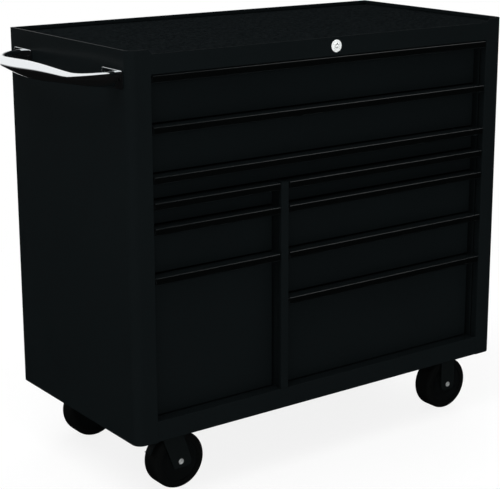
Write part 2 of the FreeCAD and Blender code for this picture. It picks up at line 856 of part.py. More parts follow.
def side_handle():
    outer = handle_loft(0)
    plates = []
    z = handle_z
    for middle in foot_plate_centres():
        half = foot_plate_length / 2
        points = [Vector(left, middle - half, z - foot_plate_height / 2),
                  Vector(left, middle + half, z - foot_plate_height / 2),
                  Vector(left, middle + half, z + foot_plate_height / 2),
                  Vector(left, middle - half, z + foot_plate_height / 2)]
        plates.append(outline_prism(points, [5.0] * 4, Vector(-foot_plate_thickness, 0, 0)))
    handle = fuse([outer] + plates)
    return handle.cut(handle_loft(handle_wall))


# Casters

def swivel_plate(x, y):
    # Mounting plate with the upper raceway and the kingpin below it.
    z1 = base + pan_height
    z0 = z1 - plate_thickness
    plate = outline_prism([Vector(x + sx * plate_width / 2, y + sy * plate_depth / 2, z0)
                           for sx, sy in ((-1, -1), (1, -1), (1, 1), (-1, 1))],
                          [6.0] * 4, Vector(0, 0, plate_thickness))
    for dx in (-bolt_spacing_x / 2, bolt_spacing_x / 2):
        for dy in (-bolt_spacing_y / 2, bolt_spacing_y / 2):
            plate = plate.cut(rod_z(x + dx, y + dy, bolt_hole_radius, z0 - 1, z1 + 1))
    race_under = z0 - raceway_height
    pin_foot = race_under - crown_thickness - 2 * swivel_gap
    raceway = rod_z(x, y, raceway_radius, race_under, z0)
    pin = rod_z(x, y, kingpin_radius, pin_foot, race_under)
    head = rod_z(x, y, kingpin_head_radius, pin_foot - kingpin_head_height, pin_foot)
    return fuse([plate, raceway, pin, head])


def fork_frame(x, y):
    # Heights shared by the fork and what rides on it.
    crown_top = base + pan_height - plate_thickness - raceway_height - swivel_gap
    return x + swivel_offset, base - axle_drop, crown_top


def leg_faces(y):
    inner = wheel_width / 2 + leg_gap
    outer = inner + leg_thickness
    return ((y - outer, y - inner), (y + inner, y + outer))


def swivel_fork(x, y):
    # Crown round the kingpin and two legs that lean towards the axle.
    axle_x, axle_z, crown_top = fork_frame(x, y)
    crown_under = crown_top - crown_thickness
    foot_z = axle_z - leg_below_axle
    slope = math.tan(math.radians(leg_lean))
    head_x = axle_x + leg_forward_shift - slope * (crown_top - axle_z)
    foot_x = axle_x + leg_forward_shift + slope * leg_below_axle
    corners = [Vector(head_x - swivel_leg_top / 2, 0, crown_top),
               Vector(head_x + swivel_leg_top / 2, 0, crown_top),
               Vector(foot_x + swivel_leg_bottom / 2, 0, foot_z),
               Vector(foot_x - swivel_leg_bottom / 2, 0, foot_z)]
    radii = [0, 0, leg_front_corner_radius, leg_rear_corner_radius]
    legs = []
    for y0, y1 in leg_faces(y):
        points = [Vector(p.x, y0, p.z) for p in corners]
        legs.append(outline_prism(points, radii, Vector(0, y1 - y0, 0)))
    (y0, _), (_, y1) = leg_faces(y)
    crown = box(min(corners[0].x, x - raceway_radius), corners[1].x, y0, y1,
                crown_under, crown_top)
    disc = rod_z(x, y, raceway_radius, crown_under, crown_top)
    fork = fuse([crown, disc] + legs)
    fork = fork.cut(rod_z(x, y, kingpin_radius + axle_fit, crown_under - 1, crown_top + 1))
    fork = fork.cut(rod_y(axle_x, axle_z, axle_radius + axle_fit, y0 - 1, y1 + 1))
    pin_x, pin_z = brake_pin_place(x, y)
    pin = rod_y(pin_x, pin_z, brake_pin_radius, y0, y1)
    return fuse([fork, pin])


def axle(x, z, y):
    (y0, _), (_, y1) = leg_faces(y)
    shank = rod_y(x, z, axle_radius, y0, y1)
    ends = []
    for start, toward in ((y0, -1), (y1, 1)):
        head = Part.makeCylinder(axle_head_radius, axle_head_height, Vector(x, start, z),
                                 Vector(0, toward, 0))
        rim = [e for e in head.Edges if abs(e.BoundBox.YMin - start - toward * axle_head_height)
               < 1e-6 and abs(e.BoundBox.YLength) < 1e-6]
        ends.append(head.makeFillet(axle_head_height * 0.6, rim))
    return fuse([shank] + ends)


def wheel(x, z, y):
    # Solid tyre on a hub, slightly dished between tread and hub.
    half = wheel_width / 2
    hub_half = half + wheel_hub_stand_out
    bore = axle_radius + axle_fit
    profile = [(bore, hub_half, 0), (wheel_hub_radius, hub_half, 1.0),
               (wheel_hub_radius, half - wheel_dish_depth, 1.5),
               (wheel_dish_radius, half - wheel_dish_depth, 1.5),
               (wheel_dish_radius, half, 1.0), (wheel_radius, half, tread_radius),
               (wheel_radius, -half, tread_radius), (wheel_dish_radius, -half, 1.0),
               (wheel_dish_radius, wheel_dish_depth - half, 1.5),
               (wheel_hub_radius, wheel_dish_depth - half, 1.5),
               (wheel_hub_radius, -hub_half, 1.0), (bore, -hub_half, 0)]
    points = [Vector(r, w, 0) for r, w, radius in profile]
    radii = [radius for r, w, radius in profile]
    start = (points[-1] + points[0]) * 0.5
    face = Part.Face(Part.Wire(path_edges([start] + points + [start], radii)))
    disc = face.revolve(Vector(0, 0, 0), Vector(0, 1, 0), 360)
    disc.translate(Vector(x, y, z))
    return disc


def brake_pin_place(x, y):
    axle_x, axle_z, crown_top = fork_frame(x, y)
    return x + brake_pin_x, base - brake_pin_drop


def brake_pedal(x, y):
    # Lever that follows the tread from its pin, with a shoe under it and a toe at the end.
    axle_x, axle_z, crown_top = fork_frame(x, y)
    pin_x, pin_z = brake_pin_place(x, y)
    start = math.degrees(math.atan2(pin_z - axle_z, pin_x - axle_x))
    end = start + brake_lever_sweep
    inner = wheel_radius + brake_lever_clearance
    outer = inner + brake_lever_sheet
    y0 = y - brake_lever_width / 2
    y1 = y + brake_lever_width / 2
    lever = ring_piece(axle_x, axle_z, inner, outer, start, end, y0, y1)
    toe_sweep = math.degrees(brake_lever_sheet / outer)
    toe = ring_piece(axle_x, axle_z, inner, outer + brake_toe_rise, end - toe_sweep, end, y0, y1)
    shoe = ring_piece(axle_x, axle_z, wheel_radius + shoe_clearance, inner,
                      start + shoe_start, start + shoe_start + shoe_sweep, y0, y1)
    boss = rod_y(pin_x, pin_z, brake_boss_radius, y - brake_boss_length / 2,
                 y + brake_boss_length / 2)
    pedal = fuse([lever, toe, shoe, boss])
    return pedal.cut(rod_y(pin_x, pin_z, brake_pin_radius + axle_fit,
                           y - brake_boss_length, y + brake_boss_length))


def rigid_bracket(x, y):
    # Mounting plate with two upright legs that carry the axle.
    z1 = base + pan_height
    z0 = z1 - plate_thickness
    plate = outline_prism([Vector(x + sx * plate_width / 2, y + sy * plate_depth / 2, z0)
                           for sx, sy in ((-1, -1), (1, -1), (1, 1), (-1, 1))],
                          [6.0] * 4, Vector(0, 0, plate_thickness))
    for dx in (-bolt_spacing_x / 2, bolt_spacing_x / 2):
        for dy in (-bolt_spacing_y / 2, bolt_spacing_y / 2):
            plate = plate.cut(rod_z(x + dx, y + dy, bolt_hole_radius, z0 - 1, z1 + 1))
    axle_z = base - axle_drop
    foot = axle_z - leg_below_axle
    legs = []
    for y0, y1 in leg_faces(y):
        points = [Vector(x - rigid_leg_width / 2, y0, z0), Vector(x + rigid_leg_width / 2, y0, z0),
                  Vector(x + rigid_leg_width / 2, y0, foot),
                  Vector(x - rigid_leg_width / 2, y0, foot)]
        legs.append(outline_prism(points, [0, 0, rigid_leg_radius, rigid_leg_radius],
                                  Vector(0, y1 - y0, 0)))
    (y0, _), (_, y1) = leg_faces(y)
    saddle = box(x - rigid_leg_width / 2, x + rigid_leg_width / 2, y0, y1, z0 - leg_thickness, z0)
    bracket = fuse([plate, saddle] + legs)
    return bracket.cut(rod_y(x, axle_z, axle_radius + axle_fit, y0 - 1, y1 + 1))


def mounting_bolts():
    # Hex bolts with nuts: four up through each caster plate, two through each handle foot.
    pieces = []
    head_top = base + pan_height - plate_thickness
    for x, y in caster_bolt_places():
        head = hex_prism(x, y, head_top - bolt_head_height, bolt_head_flat, bolt_head_height)
        shank = rod_z(x, y, bolt_radius, head_top, pan_top + bolt_head_height + 2)
        nut = hex_prism(x, y, pan_top, bolt_head_flat, bolt_head_height)
        nut = nut.cut(rod_z(x, y, bolt_radius + bolt_fit, pan_top - 1, pan_top + 8))
        pieces += [fuse([head, shank]), nut]
    turn = FreeCAD.Rotation(Vector(0, 1, 0), -90)
    grip = sheet + foot_plate_thickness
    for y, z in handle_bolt_places():
        head = hex_prism(0, 0, -handle_bolt_head_height, handle_bolt_head_flat,
                         handle_bolt_head_height)
        shank = rod_z(0, 0, handle_bolt_radius, 0, grip)
        bolt = fuse([head, shank])
        bolt.Placement = FreeCAD.Placement(Vector(left + sheet, y, z), turn)
        pieces.append(bolt)
    return Part.makeCompound(pieces)


def with_handle_holes(shape, radius):
    for y, z in handle_bolt_places():
        hole = Part.makeCylinder(radius, 20, Vector(left + 2 * sheet, y, z), Vector(-1, 0, 0))
        shape = shape.cut(hole)
    return shape


def export(node, shape):
    solids = shape.Solids
    volume = sum(s.Volume for s in solids) / 1000
    print(f"{node}: {len(solids)} solids, {volume:.1f} cm3, valid {shape.isValid()}")
    shape.exportStep(f"parts/{node}.step")


left_panel = side_panel()
export("side_panel_left", with_handle_holes(left_panel, handle_hole_radius))
export("side_panel_right", mirrored_x(left_panel, (left + right) / 2))
export("back_panel", back_panel())
export("base_pan", base_pan())
export("top_panel", top_panel())
export("top_mat", top_mat())
export("top_rail", top_rail())
export("bottom_rail", bottom_rail())
export("divider", divider())
export("slide_uprights", slide_uprights())
export("cabinet_slides", cabinet_slides())
export("side_handle", with_handle_holes(side_handle(), handle_bolt_radius + bolt_fit))
export("mounting_bolts", mounting_bolts())

for name, span, height, lower in drawer_list():
    export(f"drawer_{name}_box",
           Part.makeCompound([drawer_box(span, height, lower), drawer_catch(name, height)]))
    export(f"drawer_{name}_pull", drawer_pull(span, height))
    export(f"drawer_{name}_runners", drawer_runners(span, lower))

export("lock_housing", lock_housing())
export("lock_plug", lock_plug())
export("lock_rod", lock_rod())
export("lock_bar", Part.makeCompound([lock_bar()] + lock_hooks()))

(swivel_x, rigid_x), caster_ys = caster_places()
export("swivel_plates", Part.makeCompound([swivel_plate(swivel_x, y) for y in caster_ys]))
export("rigid_brackets", Part.makeCompound([rigid_bracket(rigid_x, y) for y in caster_ys]))
export("rigid_axles", Part.makeCompound([axle(rigid_x, base - axle_drop, y) for y in caster_ys]))
for place, y in zip(("front", "rear"), caster_ys):
    axle_x, axle_z, crown_top = fork_frame(swivel_x, y)
    export(f"fork_{place}", swivel_fork(swivel_x, y))
    export(f"fork_axle_{place}", axle(axle_x, axle_z, y))
    export(f"brake_pedal_{place}", brake_pedal(swivel_x, y))
    export(f"wheel_{place}_left", wheel(axle_x, axle_z, y))
    export(f"wheel_{place}_right", wheel(rigid_x, base - axle_drop, y))
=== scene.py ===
import json
import math

import bpy
from mathutils import Matrix, Vector


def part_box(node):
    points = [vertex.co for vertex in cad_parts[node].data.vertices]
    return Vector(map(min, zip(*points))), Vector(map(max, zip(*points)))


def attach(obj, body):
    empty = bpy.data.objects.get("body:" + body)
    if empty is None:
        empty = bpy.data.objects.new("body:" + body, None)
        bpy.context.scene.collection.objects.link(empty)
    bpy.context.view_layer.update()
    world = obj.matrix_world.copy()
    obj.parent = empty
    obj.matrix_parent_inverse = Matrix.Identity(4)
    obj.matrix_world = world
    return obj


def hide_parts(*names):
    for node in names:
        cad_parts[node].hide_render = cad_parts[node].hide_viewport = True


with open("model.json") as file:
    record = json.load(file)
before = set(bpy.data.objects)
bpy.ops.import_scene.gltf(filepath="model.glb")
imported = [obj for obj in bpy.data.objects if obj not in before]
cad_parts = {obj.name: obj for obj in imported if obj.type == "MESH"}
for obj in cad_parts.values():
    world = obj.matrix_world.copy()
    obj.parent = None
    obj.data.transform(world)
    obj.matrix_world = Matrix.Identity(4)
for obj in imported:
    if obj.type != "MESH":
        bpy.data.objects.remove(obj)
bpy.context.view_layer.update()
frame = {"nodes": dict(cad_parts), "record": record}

# The cabinet's lengths are millimetres, and toMetres() is where they turn into scene units.
# Lamps and floor are in metres.


def toMetres(point):
    return Vector(point) * 0.001


def nodeBox(node):
    low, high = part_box(node)
    return low * 1000, high * 1000


def nodeMiddle(node):
    low, high = nodeBox(node)
    return (low + high) / 2


# placing and shaping helpers

def deselect():
    bpy.ops.object.select_all(action="DESELECT")


def pick(piece):
    deselect()
    piece.select_set(True)
    bpy.context.view_layer.objects.active = piece


def enterEdit():
    bpy.ops.object.mode_set(mode="EDIT")


def editMesh(piece):
    pick(piece)
    enterEdit()
    bpy.ops.mesh.select_mode(type="VERT")
    bpy.ops.mesh.select_all(action="SELECT")


def leaveEdit():
    bpy.ops.object.mode_set(mode="OBJECT")


def extrude(step):
    bpy.ops.mesh.extrude_region_move(TRANSFORM_OT_translate={"value": step})


def closeMesh(piece):
    editMesh(piece)
    bpy.ops.mesh.remove_doubles(threshold=0.000005)
    bpy.ops.mesh.normals_make_consistent()
    leaveEdit()


def addModifier(piece, kind, **settings):
    pick(piece)
    modifier = piece.modifiers.new(kind.title(), kind)
    for key, value in settings.items():
        setattr(modifier, key, value)
    bpy.ops.object.modifier_apply(modifier=modifier.name)


def nameNew(name):
    piece = bpy.context.object
    piece.name = piece.data.name = name
    return piece


def soften(piece, width, segments=2):
    # a round along every edge sharper than 35 degrees
    addModifier(piece, "BEVEL", width=width * 0.001, segments=segments, limit_method="ANGLE",
                angle_limit=math.radians(35))


def roundCorners(points, radii, steps):
    # the same line with an arc at each inner corner; a radius of 0 keeps the corner
    points = [Vector(p) for p in points]
    line = [points[0]]
    for before, corner, after, radius in zip(points, points[1:], points[2:], radii):
        if radius <= 0:
            line.append(corner)
            continue
        back = (before - corner).normalized()
        ahead = (after - corner).normalized()
        half = back.angle(ahead) / 2
        centre = corner + (back + ahead).normalized() * (radius / math.sin(half))
        start = corner + back * (radius / math.tan(half)) - centre
        end = corner + ahead * (radius / math.tan(half)) - centre
        sweep = start.angle(end)
        for i in range(steps + 1):
            share = i / steps
            spoke = (start * math.sin((1 - share) * sweep) + end * math.sin(share * sweep)) / math.sin(sweep)
            line.append(centre + spoke)
    return line + [points[-1]]


def drawLine(name, points):
    # one vertex pulled along the points, as by hand
    deselect()
    bpy.ops.mesh.primitive_plane_add(size=0.001, location=toMetres(points[0]))
    piece = nameNew(name)
    enterEdit()
    bpy.ops.mesh.select_mode(type="VERT")
    bpy.ops.mesh.merge(type="CENTER")
    for start, end in zip(points, points[1:]):
        extrude(toMetres(end) - toMetres(start))
    bpy.ops.mesh.select_all(action="SELECT")
    return piece


def extrudeOutline(name, outline, sweep, radii=None, steps=5):
    # a closed outline with rounded corners, pulled into a solid
    if radii:
        start = (Vector(outline[-1]) + Vector(outline[0])) / 2
        outline = roundCorners([start, *outline, start], radii, steps)[1:-1]
    piece = drawLine(name, outline)
    bpy.ops.mesh.edge_face_add()
    extrude(toMetres(sweep))
    leaveEdit()
    closeMesh(piece)
    return piece


def foldSheet(name, line, sweep, thickness, outward, radii, steps=7):
    # sheet metal: the line is its outer face, and outward is where its largest face looks
    piece = drawLine(name, roundCorners(line, radii, steps))
    extrude(toMetres(sweep))
    leaveEdit()
    largest = max(piece.data.polygons, key=lambda face: face.area * abs(face.normal.dot(Vector(outward))))
    if largest.normal.dot(Vector(outward)) < 0:
        editMesh(piece)
        bpy.ops.mesh.flip_normals()
        leaveEdit()
    addModifier(piece, "SOLIDIFY", thickness=thickness * 0.001, offset=-1, use_even_offset=True)
    return piece


def cutBlock(name, low, high):
    # a block at its size and place, to be cut, inset or bevelled
    low, high = Vector(low), Vector(high)
    deselect()
    bpy.ops.mesh.primitive_cube_add(size=1, location=toMetres((low + high) / 2), scale=toMetres(high - low))
    piece = nameNew(name)
    bpy.ops.object.transform_apply(location=False, rotation=False)
    return piece


def slab(name, low, high, edge, segments=2):
    piece = cutBlock(name, low, high)
    soften(piece, edge, segments)
    return piece


def turnProfile(name, centre, profile, radii=(), arcSteps=4, axis=(0, 1, 0), steps=56):
    # profile holds (radius, distance along the axis) from the centre, radii its rounded corners
    if radii:
        rounded = roundCorners([(radius, length, 0) for radius, length in profile], radii, arcSteps)
        profile = [(point.x, point.y) for point in rounded]
    centre, out, along = Vector(centre), Vector((1, 0, 0)), Vector(axis)
    piece = drawLine(name, [centre + out * radius + along * length for radius, length in profile])
    bpy.ops.mesh.spin(steps=steps, angle=2 * math.pi, center=toMetres(centre), axis=along)
    leaveEdit()
    closeMesh(piece)
    return piece


def selectFacing(piece, way):
    # the faces that look the given way
    pick(piece)
    enterEdit()
    bpy.ops.mesh.select_all(action="DESELECT")
    bpy.ops.mesh.select_mode(type="FACE")
    leaveEdit()
    for face in piece.data.polygons:
        face.select = face.normal.dot(Vector(way)) > 0.9
    enterEdit()


def joinPieces(name, pieces):
    pick(pieces[0])
    for piece in pieces:
        piece.select_set(True)
    bpy.ops.object.join()
    return nameNew(name)


def copyPiece(piece, name, move=(0, 0, 0)):
    pick(piece)
    bpy.ops.object.duplicate()
    copy = nameNew(name)
    bpy.ops.transform.translate(value=toMetres(move))
    bpy.ops.object.transform_apply()
    return copy


def mirrorPiece(piece, name, x):
    copy = copyPiece(piece, name)
    editMesh(copy)
    bpy.ops.transform.resize(value=(-1, 1, 1), center_override=(x * 0.001, 0, 0))
    bpy.ops.mesh.flip_normals()
    leaveEdit()
    return copy


def settle(piece, body, slotName, *nodes, finish=None, smooth=38, turned=False):
    # origin to the world's, smooth shading, the body it rides on and its slot's finish or its
    # own. The large faces of a sheet piece rule its normals, and a turned piece keeps its own.
    pick(piece)
    bpy.ops.object.transform_apply()
    bpy.ops.object.shade_smooth_by_angle(angle=math.radians(smooth))
    if not turned:
        addModifier(piece, "WEIGHTED_NORMAL", keep_sharp=True, weight=60)
    piece.data.materials.clear()
    piece.data.materials.append(finish or finishes[slotName])
    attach(piece, body)
    if nodes:
        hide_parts(*nodes)


# materials

def colour(hexCode):
    # sRGB hex to the linear values that the shader takes
    channels = [int(hexCode[i:i + 2], 16) / 255 for i in (1, 3, 5)]
    linear = [c / 12.92 if c <= 0.04045 else ((c + 0.055) / 1.055) ** 2.4 for c in channels]
    return (*linear, 1)


def addNode(tree, kind, settings=None, links=None):
    # settings: input values or node properties; links: input to a node, which gives its first
    # output, or to (node, output). A number picks a socket by its place, as the colour mix
    # needs: 6 and 7 in, 2 out.
    node = tree.nodes.new(kind)
    for key, value in (settings or {}).items():
        if isinstance(key, int) or key in node.inputs:
            node.inputs[key].default_value = value
        else:
            setattr(node, key, value)
    for key, source in (links or {}).items():
        origin, output = source if isinstance(source, tuple) else (source, 0)
        tree.links.new(origin.outputs[output], node.inputs[key])
    return node


def newMaterial(name):
    # an empty material, its tree, and the Object coordinates that its patterns read
    material = bpy.data.materials.new(name)
    material.use_nodes = True
    tree = material.node_tree
    tree.nodes.clear()
    return material, tree, (addNode(tree, "ShaderNodeTexCoord"), "Object")


def perMillimetre(size):
    # pattern scale on Object coordinates, which are metres
    return 1000.0 / size


def smoothRamp(low, high, start, end):
    # settings for a soft step from start to end between low and high
    return {"interpolation_type": "SMOOTHSTEP", "From Min": low, "From Max": high,
            "To Min": start, "To Max": end}


def finishSurface(material, look, optics, pattern, relief=None, tint=None):
    # what most finishes end in: tone and roughness follow the pattern, or the tone a tint of
    # its own. The relief drives the bump, given as its strength and its height in mm.
    tree = material.node_tree
    shades = {"data_type": "RGBA", 6: colour(look["dark"]), 7: colour(look["light"])}
    tone = addNode(tree, "ShaderNodeMix", shades, {0: tint or pattern})
    span = {"To Min": look["rough"][0], "To Max": look["rough"][1]}
    rough = addNode(tree, "ShaderNodeMapRange", span, {"Value": pattern})
    links = {"Base Color": (tone, 2), "Roughness": rough}
    if relief:
        strength, height = look["bump"]
        bump = addNode(tree, "ShaderNodeBump", {"Strength": strength, "Distance": height * 0.001},
                       {"Height": relief})
        links["Normal"] = bump
    shader = addNode(tree, "ShaderNodeBsdfPrincipled", optics, links)
    addNode(tree, "ShaderNodeOutputMaterial", links={"Surface": shader})
    return material


def powderCoat():
    # Polyester powder coat on steel, baked: even black with a faint cool cast, a low sheen
    # and the fine orange peel that powder leaves, about 1.5 mm from hump to hump.
    look = {"dark": "#0B0E0F", "light": "#0D1112", "rough": (0.17, 0.23), "cloud": 260, "peel": 1.5,
            "bump": (0.12, 0.2)}
    material, tree, place = newMaterial("powderCoatedSteel")
    cloud = addNode(tree, "ShaderNodeTexNoise", {"Scale": perMillimetre(look["cloud"]), "Detail": 3.0},
                    {"Vector": place})
    peel = addNode(tree, "ShaderNodeTexNoise", {"Scale": perMillimetre(look["peel"])}, {"Vector": place})
    optics = {"IOR": 1.5, "Specular IOR Level": 0.013}
    return finishSurface(material, look, optics, cloud, peel)


def pullEnamel():
    # Black enamel on the drawn pull rails: glossier than the powder, so that their edges catch
    # the light, and faintly streaked along the draw.
    look = {"dark": "#0B0E0F", "light": "#0D1112", "rough": (0.20, 0.28), "streak": 1.2, "bump": (0.05, 0.1)}
    material, tree, place = newMaterial("blackEnamelledRail")
    stretch = addNode(tree, "ShaderNodeMapping", {"Scale": (0.02, 1.0, 1.0)}, {"Vector": place})
    draw = addNode(tree, "ShaderNodeTexNoise", {"Scale": perMillimetre(look["streak"]), "Detail": 3.0},
                   {"Vector": stretch})
    optics = {"IOR": 1.5, "Specular IOR Level": 0.40}
    return finishSurface(material, look, optics, draw, draw)


def trimVinyl():
    # Extruded black vinyl strip in the pull's groove: the darkest thing on the front,
    # with faint die lines along its length.
    look = {"dark": "#020303", "light": "#040505", "rough": (0.44, 0.54), "line": 1.0, "bump": (0.06, 0.1)}
    material, tree, place = newMaterial("extrudedBlackVinyl")
    stretch = addNode(tree, "ShaderNodeMapping", {"Scale": (0.01, 1.0, 1.0)}, {"Vector": place})
    line = addNode(tree, "ShaderNodeTexNoise", {"Scale": perMillimetre(look["line"])}, {"Vector": stretch})
    optics = {"IOR": 1.5, "Specular IOR Level": 0.02}
    return finishSurface(material, look, optics, line, line)


def pebbledMat():
    # Calendered rubber sheet with a pebbled grain about 3 mm across: dull, its tone painted a shade
    # lighter than the paint, a painted highlight for the light its humps catch, mottled where dust sits.
    look = {"dark": "#060809", "light": "#111415", "rough": (0.74, 0.88), "grain": 3.0, "mottle": 9,
            "bump": (0.5, 0.8)}
    material, tree, place = newMaterial("pebbledRubberSheet")
    grain = addNode(tree, "ShaderNodeTexVoronoi",
                    {"feature": "SMOOTH_F1", "Scale": perMillimetre(look["grain"])},
                    {"Vector": place})
    mottle = addNode(tree, "ShaderNodeTexNoise",
                     {"Scale": perMillimetre(look["mottle"]), "Detail": 5.0, "Roughness": 0.7},
                     {"Vector": place})
    spread = addNode(tree, "ShaderNodeMapRange", {"From Min": 0.35, "From Max": 0.68}, {"Value": mottle})
    height = addNode(tree, "ShaderNodeMath", {"operation": "SUBTRACT"}, {0: mottle, 1: grain})
    optics = {"IOR": 1.52, "Specular IOR Level": 0.0}
    return finishSurface(material, look, optics, mottle, height, spread)


def chromePlate(name, hexCode, roughness, metallic):
    # Chrome over steel, and bright turned steel, with the slightest handling haze: a bright
    # mirror where it is polished, and part scattered light where it is matt.
    haze = {"size": 24, "clear": 0.6, "dull": 1.5}
    material, tree, place = newMaterial(name)
    cloud = addNode(tree, "ShaderNodeTexNoise", {"Scale": perMillimetre(haze["size"]), "Detail": 4.0},
                    {"Vector": place})
    rough = addNode(tree, "ShaderNodeMapRange",
                    {"To Min": roughness * haze["clear"], "To Max": roughness * haze["dull"]},
                    {"Value": cloud})
    shader = addNode(tree, "ShaderNodeBsdfPrincipled", {"Base Color": colour(hexCode), "Metallic": metallic},
                     {"Roughness": rough})
    addNode(tree, "ShaderNodeOutputMaterial", links={"Surface": shader})
    return material


def zincPlate():
    # Bright zinc plating on rolled steel: pale grey, soft mirror, cloudy where it passivated.
    look = {"dark": "#8E9294", "light": "#B9BDBF", "rough": (0.26, 0.42), "cloud": 9}
    material, tree, place = newMaterial("brightZincPlate")
    cloud = addNode(tree, "ShaderNodeTexNoise", {"Scale": perMillimetre(look["cloud"]), "Detail": 4.0},
                    {"Vector": place})
    return finishSurface(material, look, {"Metallic": 1.0}, cloud)


def casterEnamel():
    # Black dip enamel on the pressed caster steel: a touch greyer than the cabinet.
    look = {"dark": "#0B0E0F", "light": "#0E1212", "rough": (0.36, 0.48), "flow": 7, "bump": (0.08, 0.4)}
    material, tree, place = newMaterial("dippedBlackEnamel")
    flow = addNode(tree, "ShaderNodeTexNoise", {"Scale": perMillimetre(look["flow"]), "Detail": 3.0},
                   {"Vector": place})
    optics = {"IOR": 1.5, "Specular IOR Level": 0.03}
    return finishSurface(material, look, optics, flow, flow)


def treadRubber():
    # Moulded black rubber tyre: dull, with fine scuffs round the tread.
    look = {"dark": "#060808", "light": "#0A0B0B", "rough": (0.62, 0.78), "scuff": 11, "grain": 1.2,
            "bump": (0.2, 0.2)}
    material, tree, place = newMaterial("mouldedTreadRubber")
    scuff = addNode(tree, "ShaderNodeTexNoise", {"Scale": perMillimetre(look["scuff"]), "Detail": 5.0},
                    {"Vector": place})
    grain = addNode(tree, "ShaderNodeTexNoise", {"Scale": perMillimetre(look["grain"])}, {"Vector": place})
    optics = {"IOR": 1.52, "Specular IOR Level": 0.03}
    return finishSurface(material, look, optics, scuff, grain)


def wheelCore():
    # Moulded polypropylene core: satin black, faintly flowed, smoother than the rubber.
    look = {"dark": "#07090A", "light": "#0A0C0C", "rough": (0.36, 0.46), "flow": 18}
    material, tree, place = newMaterial("mouldedPolypropylene")
    flow = addNode(tree, "ShaderNodeTexNoise", {"Scale": perMillimetre(look["flow"])}, {"Vector": place})
    return finishSurface(material, look, {"IOR": 1.49, "Specular IOR Level": 0.04}, flow)


def studioFloor():
    # Seamless white paper. The camera sees it lifted nearly to white, with the shadow left as
    # a soft grey, and from 1.8 m outwards it is plain white, as the paper's lit sweep is.
    look = {"dark": "#EEEEEE", "light": "#F2F2F2", "fibre": 40, "near": 0.85, "fade": (0.8, 1.8)}
    material, tree, place = newMaterial("seamlessPaper")
    fibre = addNode(tree, "ShaderNodeTexNoise", {"Scale": perMillimetre(look["fibre"]), "Detail": 3.0},
                    {"Vector": place})
    shades = {"data_type": "RGBA", 6: colour(look["dark"]), 7: colour(look["light"])}
    tone = addNode(tree, "ShaderNodeMix", shades, {0: fibre})
    matte = addNode(tree, "ShaderNodeBsdfPrincipled", {"Roughness": 0.9, "Specular IOR Level": 0.1},
                    {"Base Color": (tone, 2)})
    glow = addNode(tree, "ShaderNodeEmission")
    away = addNode(tree, "ShaderNodeVectorMath", {"operation": "LENGTH"}, {"Vector": place})
    fade = addNode(tree, "ShaderNodeMapRange", smoothRamp(*look["fade"], look["near"], 1.0),
                   {"Value": (away, "Value")})
    ray = addNode(tree, "ShaderNodeLightPath")
    share = addNode(tree, "ShaderNodeMath", {"operation": "MULTIPLY"}, {0: fade, 1: (ray, "Is Camera Ray")})
    both = addNode(tree, "ShaderNodeMixShader", links={0: share, 1: matte, 2: glow})
    addNode(tree, "ShaderNodeOutputMaterial", links={"Surface": both})
    return material


print("materials")
finishes = {"cabinet_paint": powderCoat(), "pull_paint": pullEnamel(), "caster_paint": casterEnamel(),
            "zinc_steel": zincPlate(), "mat_rubber": pebbledMat(), "wheel_rubber": treadRubber(),
            "chrome": chromePlate("polishedChromeHandle", "#E9ECEE", 0.06, 1.0),
            "lock_chrome": chromePlate("satinChromeLock", "#F4F7F6", 0.42, 0.25),
            "bright_steel": chromePlate("brightSteelAxle", "#E4E8E8", 0.30, 0.65)}
# black vinyl for the pull trims, also used as the painted shade of the lock's tooth notch
vinylAndNotchShade = trimVinyl()
corePlastic = wheelCore()
for entry in frame["record"]["subparts"]:
    node = frame["nodes"][entry["node"]]
    node.data.materials.clear()
    node.data.materials.append(finishes[entry["material_slot"]])


# carcass

print("carcass")
shell = {"sheet": 1.2, "postRadius": 20, "rearRadius": 3, "bend": 2.5, "stile": 51.5, "jamb": 18,
         "rearFlange": 25, "hem": 8, "hemGap": 0.4, "hemEdge": 0.5, "stepRun": 8, "stepDrop": 9, "edge": 0.35}
sideLow, sideHigh = nodeBox("side_panel_left")
left, right = sideLow.x, nodeBox("side_panel_right")[1].x
front, rear = sideLow.y, nodeBox("back_panel")[1].y
base, top = sideLow.z, sideHigh.z
openingLeft, openingRight = left + shell["stile"], right - shell["stile"]
railTop = nodeBox("bottom_rail")[1].z


def buildSide():
    inset = shell["sheet"]
    inner = rear - inset
    line = [(left + shell["rearFlange"], inner, base), (left, inner, base), (left, front, base),
            (openingLeft, front, base), (openingLeft, front + shell["jamb"], base)]
    radii = [shell["rearRadius"], shell["postRadius"], shell["bend"]]
    wall = foldSheet("sideWall", line, (0, 0, top - base), inset, (-1, 0, 0), radii, 10)
    # the stile steps down to the top rail
    editMesh(wall)
    edge = Vector((openingLeft - shell["stepRun"], front, top))
    bpy.ops.mesh.bisect(plane_co=toMetres(edge), plane_no=(shell["stepDrop"], 0, shell["stepRun"]),
                        use_fill=True, clear_outer=True)
    leaveEdit()
    soften(wall, shell["edge"])
    hemLine = [(left + inset, inner, top), (left + inset, front + inset, top),
               (openingLeft - shell["stepRun"] - shell["hemGap"], front + inset, top)]
    hem = foldSheet("sideHem", hemLine, (0, 0, -shell["hem"]), 2 * inset, (-1, 0, 0),
                    [shell["postRadius"] - inset], 10)
    soften(hem, shell["hemEdge"])
    return joinPieces("side_panel_left_shell", [wall, hem])


leftShell = buildSide()
rightShell = mirrorPiece(leftShell, "side_panel_right_shell", (left + right) / 2)
settle(leftShell, "cabinet", "cabinet_paint", "side_panel_left")
settle(rightShell, "cabinet", "cabinet_paint", "side_panel_right")


